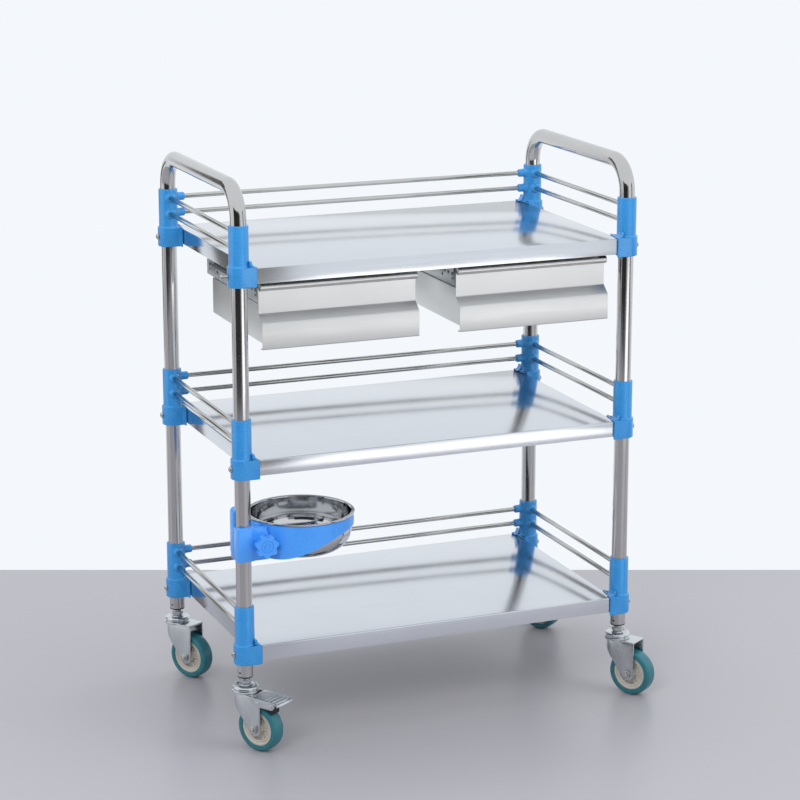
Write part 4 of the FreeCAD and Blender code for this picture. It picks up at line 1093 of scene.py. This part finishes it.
def makeKnob():                              # its face up at first, then turned to the front
    thick, core = knob["thick"], knob["core"]
    disc = newTurned([(1.4, thick - 1.0), (2.0, thick - 0.1), (4.0, thick - 0.1),
                      (4.5, thick - 0.9), (5.5, thick - 0.9), (6.0, thick - 0.1),
                      (8.4, thick - 0.1), (8.9, thick - 0.9), (10.1, thick - 0.9),
                      (10.7, thick), (core, thick), (core, 0), (knob["neck"], 0),
                      (knob["neck"], knob["back"] - knob["neckEnd"]),
                      (knob["screw"], knob["back"] - knob["neckEnd"]),
                      (knob["screw"], knob["back"] - knob["screwEnd"])], rim=96)
    for step in range(knob["lobes"]):
        turn = math.radians(360 / knob["lobes"] * step + knob["lobeTurn"])
        at = (knob["lobeAt"] * math.cos(turn), knob["lobeAt"] * math.sin(turn))
        welded(disc, newRod((*at, 0), (*at, thick - 0.001), knob["lobe"], 32))
    rounded(disc, 1.2, 3, 60)
    return turned(disc, (90, 0, 0), (knob["x"], knob["back"], knob["z"]))


post = (-postX, -postY, 0)
holderParts = [("bowlRing", makeHolder(), "bowl_holder", "bowl_ring"),
               ("bowlClampJaw", makeJaw(), "bowl_holder", "bowl_clamp_jaw"),
               ("bowlClampKnob", makeKnob(), "bowl_knob", "bowl_clamp_knob")]
for name, shape, body, node in holderParts:
    finished(placed(shape, post), name, body, [node], paleBlueAbs)
print("bowl holder ready")


# Bowl: spun from 1 mm sheet, its rim rolled outwards over the ring.

bowl = {"base": 42.0, "wallRadius": 81.4, "flatness": 0.9, "sheet": 1.0, "rim": 86.5,
        "rimThick": 2.1, "steps": 12}


def makeBowl():
    low, high = boxOf("bowl")
    base, radius, sheet = bowl["base"], bowl["wallRadius"], bowl["sheet"]
    rimLow, edge = high.z - bowl["rimThick"], bowl["rim"]
    curve, flat = radius - base, bowl["flatness"]
    turns = [math.radians(90 * step / bowl["steps"]) for step in range(bowl["steps"] + 1)]
    outer = [(base + curve * math.sin(turn), low.z + curve * flat * (1 - math.cos(turn)))
             for turn in turns]
    inner = [(base + (curve - sheet) * math.sin(turn),
              low.z + sheet + curve * flat * (1 - math.cos(turn))) for turn in turns]
    profile = ([(0, low.z + 0.8), (base - 8, low.z + 0.8), (base - 5, low.z)] + outer
               + [(radius, rimLow - 0.8), (radius + 0.5, rimLow), (edge - 1.0, rimLow),
                  (edge - 0.3, rimLow + 0.3), (edge, rimLow + 1.0), (edge - 0.3, high.z - 0.4),
                  (edge - 1.1, high.z), (radius + 1.4, high.z), (radius - 0.2, high.z - 0.4),
                  (radius - 0.8, high.z - 1.2), (radius - sheet, high.z - 2.4)]
               + inner[::-1] + [(base - 6, low.z + sheet), (base - 9, low.z + sheet + 0.8),
                                (0, low.z + sheet + 0.8)])
    return turned(newTurned(profile, rim=160), (0, 0, 0),
                  ((low.x + high.x) / 2, (low.y + high.y) / 2, 0))


finished(makeBowl(), "bowl", "bowl", ["bowl"], spunSteel)
print("bowl ready")


# Floor, light and camera

studio = {
    "floor": "#A3A1A6", "floorRough": 0.34, "floorSize": (8.0, 5.0),
    "floorAt": (-0.72, -1.76, -0.0005), "wall": "#F4F8FC", "wallStrength": 1.0,
    "cameraAt": (-1.5424, -3.7865, 1.5392), "cameraTilt": 75.6045, "cameraTurn": -22.27,
    "sensor": 36.0, "lens": 115.39, "cardRadius": 2700,
}


def makeFloor():
    bpy.ops.mesh.primitive_plane_add(size=1)
    floor = bpy.context.active_object
    floor.scale = (*studio["floorSize"], 1)
    floor.rotation_euler = (0, 0, math.radians(studio["cameraTurn"]))
    floor.location = studio["floorAt"]
    applyPlace(floor)
    material, _, shader, _ = newMaterial("plainPaleFloor")
    shader.inputs["Base Color"].default_value = colour(studio["floor"])
    shader.inputs["Roughness"].default_value = studio["floorRough"]
    floor.data.materials.append(material)
    floor.name = "floor"


# Cards that only reflections see. Their turn is counted from the camera, to its right.
def makeCard(name, turns, height, shade):
    radius, (first, last) = studio["cardRadius"], turns
    steps = int((last - first) / 4)
    line = []
    for step in range(steps + 1):
        turn = first + (last - first) * step / steps
        angle = math.radians(-90 + studio["cameraTurn"] + turn)
        line.append((radius * math.cos(angle), radius * math.sin(angle)))
    card = newLine(line, 0)
    extrudeUp(height)
    bpy.ops.mesh.select_all(action="SELECT")
    bpy.ops.mesh.normals_make_consistent(inside=False)
    leaveEdit()
    face = card.data.polygons[0]
    if face.normal.dot(face.center) > 0:     # its face looks at the cart
        enterEdit(card)
        bpy.ops.mesh.flip_normals()
        leaveEdit()
    finishCard(card, name, shade)


def finishCard(card, name, shade):
    material = bpy.data.materials.new(name)
    material.use_nodes = True
    tree = material.node_tree
    tree.nodes.clear()
    glow = addNode(tree, "ShaderNodeEmission", {"Strength": shade})
    clear = addNode(tree, "ShaderNodeBsdfTransparent")
    where = addNode(tree, "ShaderNodeNewGeometry")   # shows its face, and not its back
    both = addNode(tree, "ShaderNodeMixShader", links={"Fac": where.outputs["Backfacing"]})
    tree.links.new(glow.outputs["Emission"], both.inputs[1])
    tree.links.new(clear.outputs["BSDF"], both.inputs[2])
    output = addNode(tree, "ShaderNodeOutputMaterial")
    tree.links.new(both.outputs["Shader"], output.inputs["Surface"])
    card.data.materials.append(material)
    card.name = name
    card.visible_camera = False
    card.visible_diffuse = False
    card.visible_shadow = False


def makeFloorCard(name, turn, distance, size, shade):   # lies just above the floor
    angle = math.radians(-90 + studio["cameraTurn"] + turn)
    bpy.ops.mesh.primitive_plane_add(size=1)
    card = bpy.context.active_object
    card.scale = (*size, 1)
    card.rotation_euler = (0, 0, angle)
    card.location = (distance * math.cos(angle), distance * math.sin(angle), 0.01)
    applyPlace(card)
    finishCard(card, name, shade)


def makeLamp(name, at, size, power, aim=(0, 0, 0.5)):
    bpy.ops.object.light_add(type="AREA", location=at)
    lamp = bpy.context.active_object
    lamp.name = name
    lamp.data.shape = "RECTANGLE"
    lamp.data.size, lamp.data.size_y = size
    lamp.data.energy = power
    lamp.rotation_euler = (Vector(aim) - Vector(at)).to_track_quat("-Z", "Y").to_euler()
    lamp.visible_glossy = False


makeFloor()
makeCard("darkCard", (-54, 12), 1700, 0.03)
makeCard("greyCard", (12, 26), 1500, 0.28)
makeCard("rightStripe", (64, 76), 1600, 0.10)
makeCard("leftStripe", (-132, -112), 1600, 0.12)
makeFloorCard("brightFloorCard", 44, 3.5, (2.4, 1.9), 1.9)
makeLamp("keyLamp", (-2.6, -3.0, 3.2), (1.8, 1.8), 75)
makeLamp("fillLamp", (2.6, -2.6, 2.4), (1.8, 1.8), 35)
makeLamp("topLamp", (0.2, 0.4, 3.4), (2.4, 1.6), 30)

world = bpy.data.worlds.new("softStudio")
bpy.context.scene.world = world
world.use_nodes = True
sky = world.node_tree.nodes["Background"]
sky.inputs["Color"].default_value = colour(studio["wall"])
sky.inputs["Strength"].default_value = studio["wallStrength"]
bpy.context.scene.view_settings.view_transform = "Standard"

bpy.ops.object.camera_add(location=studio["cameraAt"],
                          rotation=(math.radians(studio["cameraTilt"]), 0,
                                    math.radians(studio["cameraTurn"])))
camera = bpy.context.active_object
camera.data.sensor_width = studio["sensor"]
camera.data.lens = studio["lens"]
bpy.context.scene.camera = camera
print("studio ready")
